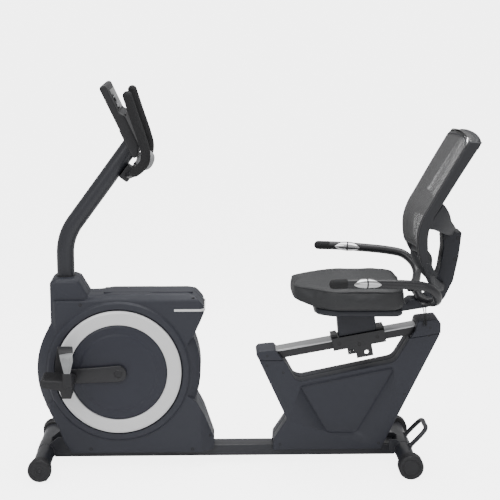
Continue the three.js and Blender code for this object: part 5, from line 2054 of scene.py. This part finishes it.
@dataclass
class Backrest(Assembly):
    """The backrest: two side rails, bars, legs, a lumbar wing and the stretched mesh."""

    body: str = "seat"
    half: float = 187.0
    rail: float = 26.0
    front: list[tuple[float, float]] = field(
        default_factory=lambda: [
            (573, 700),
            (553, 732),
            (541, 765),
            (536, 800),
            (537, 845),
            (552, 893),
            (578, 940),
            (634, 1040),
            (684, 1126),
            (697, 1148),
        ]
    )

    def build(self) -> None:
        """Builds the backrest."""
        line = spline([(x, 0, z) for x, z in self.front], 90)[:, ::2]
        depth = 34 + 10 * np.clip((line[:, 1] - 900) / 264, 0, 1)
        outline = np.concatenate([line, (line + np.stack([depth, np.full(90, -4.0)], 1))[::-1]])
        for name, sign in (("left", -1.0), ("right", 1.0)):
            low, high = sorted((sign * (self.half - self.rail), sign * self.half))
            plate = soft_plate(f"{name}_back_rail", outline, low, high, 7)
            self.fit(plate, "back_plastic", *(["backrest_frame"] if sign < 0 else []))
        self._bars()
        self._wing()
        self._mesh()

    def _bars(self) -> None:
        """The top bar, the lower bar and the two legs."""
        top = [(716, -176, 1122), (726, -166, 1138), (732, -120, 1146), (737, 0, 1150)]
        whole = spline([*top, *mirrored(top)[-2::-1]], 90)
        self.fit(sweep("back_top_bar", whole, 12, 12, (1, 0, -0.4), 8, 2.4, 36), "back_plastic")
        over = [(712, -176, 1138), (717, -160, 1149), (720, -110, 1155), (722, 0, 1158)]
        wrapped = spline([*over, *mirrored(over)[-2::-1]], 90)
        self.fit(sweep("mesh_wrap", wrapped, 21, 2, (1, 0, -0.25), 10, 3, 36), "mesh_fabric")
        low = [(566, -172, 732), (590, -100, 732), (598, 0, 732), (590, 100, 732), (566, 172, 732)]
        self.fit(sweep("back_low_bar", spline(low, 70), 8, 13, (1, 0, 0), 4, 2.8, 32), "back_plastic")
        leg = [(574, -174, 745), (577, -165, 705), (600, -120, 664), (628, -76, 638), (640, -49, 634)]
        for name, sign in (("left", 1.0), ("right", -1.0)):
            path = spline(leg, 70) * np.array([1, sign, 1])
            self.fit(sweep(f"{name}_back_leg", path, 17, 12, (0, 0, 1), 4, 2.8, 32), "back_plastic")

    def _wing(self) -> None:
        """The lumbar wing: a flat band carried round a bow between the rails."""
        points = [(590, -178, 900), (612, -166, 884), (640, -128, 854), (668, -70, 830), (680, 0, 820)]
        path = spline([*points, *mirrored(points)[-2::-1]], 110)
        tall = np.interp(np.abs(path[:, 1]), [0, 70, 128, 166, 178], [15, 17, 25, 40, 50])
        band = sweep("lumbar_wing", path, tall, 6, (0.5, 0, 1), 5, 4, 44)
        self.fit(band, "back_plastic")

    def _mesh(self) -> None:
        """The mesh: a closed thin sheet drawn over both rails. Its front follows the rails, hollows by
        25 * (1 - (y / inner)^2) between them, and turns back round their outer edges on a circle."""
        reach, inner, round_off = self.half - 1.5, self.half - self.rail, 8.6
        bottom, top = 752.0, 1141.0
        z = np.linspace(bottom, top, 90)
        y = np.linspace(-reach, reach, 96)
        line = spline([(x, 0, z) for x, z in self.front], 200)[:, ::2]
        fronts = np.interp(z, line[:, 1], line[:, 0])
        grid_z, grid_y = np.meshgrid(z, y, indexing="ij")
        share = (grid_z - bottom) / (top - bottom)
        bow = np.clip(1 - (grid_y / inner) ** 2, 0, 1)
        past = np.clip(np.abs(grid_y) - (self.half - 7), 0, round_off)
        wrap = round_off - np.sqrt(round_off**2 - past**2)
        x = fronts[:, None] - 2.2 + wrap + (25 - 3 * share**4) * bow
        grid_z = grid_z + 13 * np.clip(1 - (grid_y / reach) ** 4, 0, 1) * share**6
        face = np.stack([x, grid_y, grid_z], -1)
        rear = face + np.array([1.2, 0, 0])
        loop = np.concatenate([face, rear[:, ::-1]], 1)
        sheet = rings("back_mesh", loop, 60)
        self.fit(sheet, "mesh_fabric", "backrest_mesh")
        for label, row in (("top", -3), ("bottom", 2)):
            edge = face[row][3:-3]
            line = even(edge, 80) + np.array([0.6, 0, 0])
            hem = sweep(f"mesh_{label}_hem", line, 2.4, 3.6, (1, 0, 0.3), 2, 3, 16)
            self.fit(hem, "back_plastic")
        for label, column in (("left", 1), ("right", -2)):
            line = even(face[:, column][2:-2], 90) + np.array([0.6, 0, 0])
            self.fit(sweep(f"mesh_{label}_hem", line, 2.2, 1.8, (1, 0, 0.3), 2, 3, 16), "back_plastic")


# ---------- studio ----------


def aimed(place: Vector, ahead: Vector) -> Matrix:
    """The matrix of a camera or light that stands at a place and looks ahead, with its top up.

    Args:
        place: Where it stands.
        ahead: Where it looks.

    Returns:
        The matrix.
    """
    return Matrix.Translation(place) @ ahead.to_track_quat("-Z", "Y").to_matrix().to_4x4()


@dataclass
class Studio:
    """The camera, the soft lights and the pale floor."""

    lens: float = 99.36
    place: Point = (-0.1347, -4.675, 1.646)
    pitch: float = 10.8
    yaw: float = 1.43
    surround: float = 0.5
    backdrop: float = 9.0

    def build(self) -> None:
        """Builds the studio."""
        self._camera()
        self._floor()
        self._world()
        self._light("key", (-1.6, -2.6, 3.0), 2.2, 46)
        self._light("fill", (2.4, -3.2, 1.8), 2.4, 16)
        self._light("top", (0.2, 0.4, 3.4), 2.6, 80)

    def _world(self) -> None:
        """A white surround: soft on the bike, and bright where the camera sees past it."""
        world = bpy.data.worlds.new("studio")
        world.use_nodes = True
        tree = world.node_tree
        soft = tree.nodes["Background"]
        soft.inputs["Color"].default_value = (1, 1, 1, 1)
        soft.inputs["Strength"].default_value = self.surround
        bright = tree.nodes.new("ShaderNodeBackground")
        bright.inputs["Strength"].default_value = self.backdrop
        seen = tree.nodes.new("ShaderNodeLightPath")
        mix = tree.nodes.new("ShaderNodeMixShader")
        tree.links.new(seen.outputs["Is Camera Ray"], mix.inputs[0])
        tree.links.new(soft.outputs[0], mix.inputs[1])
        tree.links.new(bright.outputs[0], mix.inputs[2])
        tree.links.new(mix.outputs[0], tree.nodes["World Output"].inputs["Surface"])
        bpy.context.scene.world = world

    def _camera(self) -> None:
        """Places the camera from its pitch and yaw."""
        tilt, turn = math.radians(self.pitch), math.radians(self.yaw)
        ahead = Vector(
            (math.sin(turn) * math.cos(tilt), math.cos(turn) * math.cos(tilt), -math.sin(tilt))
        )
        data = bpy.data.cameras.new("view")
        data.lens = self.lens
        data.sensor_width = 36.0
        data.dof.use_dof = False
        camera = bpy.data.objects.new("view", data)
        camera.matrix_world = aimed(Vector(self.place), ahead)
        bpy.context.scene.collection.objects.link(camera)
        bpy.context.scene.camera = camera

    def _floor(self) -> None:
        """The pale floor: one flat sheet that runs to the horizon."""
        reach = 400000.0
        flat = rectangle(-reach, -reach, reach, reach)
        floor = put("floor", np.column_stack([flat, np.full(4, -1.0)]), [[0, 1, 2, 3]], 60)
        graph = Graph("studio_floor")
        pale = {"Base Color": (0.94, 0.94, 0.94, 1.0), "Roughness": 0.9}
        plain = graph.node("ShaderNodeBsdfPrincipled", {}, pale)
        glow = {**pale, "Emission Color": (1.0, 1.0, 1.0, 1.0), "Emission Strength": self.backdrop * 0.5}
        lit = graph.node("ShaderNodeBsdfPrincipled", {}, glow)
        seen = graph.node("ShaderNodeLightPath", {}, {})
        ways = {0: seen.outputs["Is Camera Ray"], 1: plain.outputs[0], 2: lit.outputs[0]}
        mix = graph.node("ShaderNodeMixShader", {}, ways)
        graph.node("ShaderNodeOutputMaterial", {}, {"Surface": mix.outputs[0]})
        floor.data.materials.append(graph.material)

    def _light(self, name: str, place: Point, size: float, power: float) -> None:
        """A soft square light aimed at the bike's middle.

        Args:
            name: Its name.
            place: Where it hangs, in metres.
            size: Its side, in metres.
            power: Its power, in watts.
        """
        data = bpy.data.lights.new(name, "AREA")
        data.size = size
        data.energy = power
        light = bpy.data.objects.new(name, data)
        aim = Vector((0, 0, 0.6)) - Vector(place)
        light.matrix_world = aimed(Vector(place), aim)
        bpy.context.scene.collection.objects.link(light)


def main() -> None:
    """Builds the bike in order and reports each sub-assembly."""
    logging.basicConfig(level=logging.INFO, format="%(name)s: %(message)s")
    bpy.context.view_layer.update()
    Studio().build()
    finishes = Finishes()
    finishes.dress_nodes()
    steps: list[Assembly] = [
        SensorWires(finishes),
        Base(finishes),
        Shroud(finishes),
        Cranks(finishes),
        Pedal(finishes),
        Pedal(finishes, side="right", shift=(2 * (CRANK[0] - PEDAL[0]), 2 * (CRANK[1] - PEDAL[1]))),
        Mast(finishes),
        Console(finishes),
        FrontHandlebar(finishes),
        SeatRail(finishes),
        RearCovers(finishes),
        Seat(finishes),
        Cushion(finishes),
        SideHandlebar(finishes),
        Backrest(finishes),
    ]
    for step in steps:
        step.build()
        log.info("%s built", type(step).__name__)


if __name__ == "__main__":
    main()
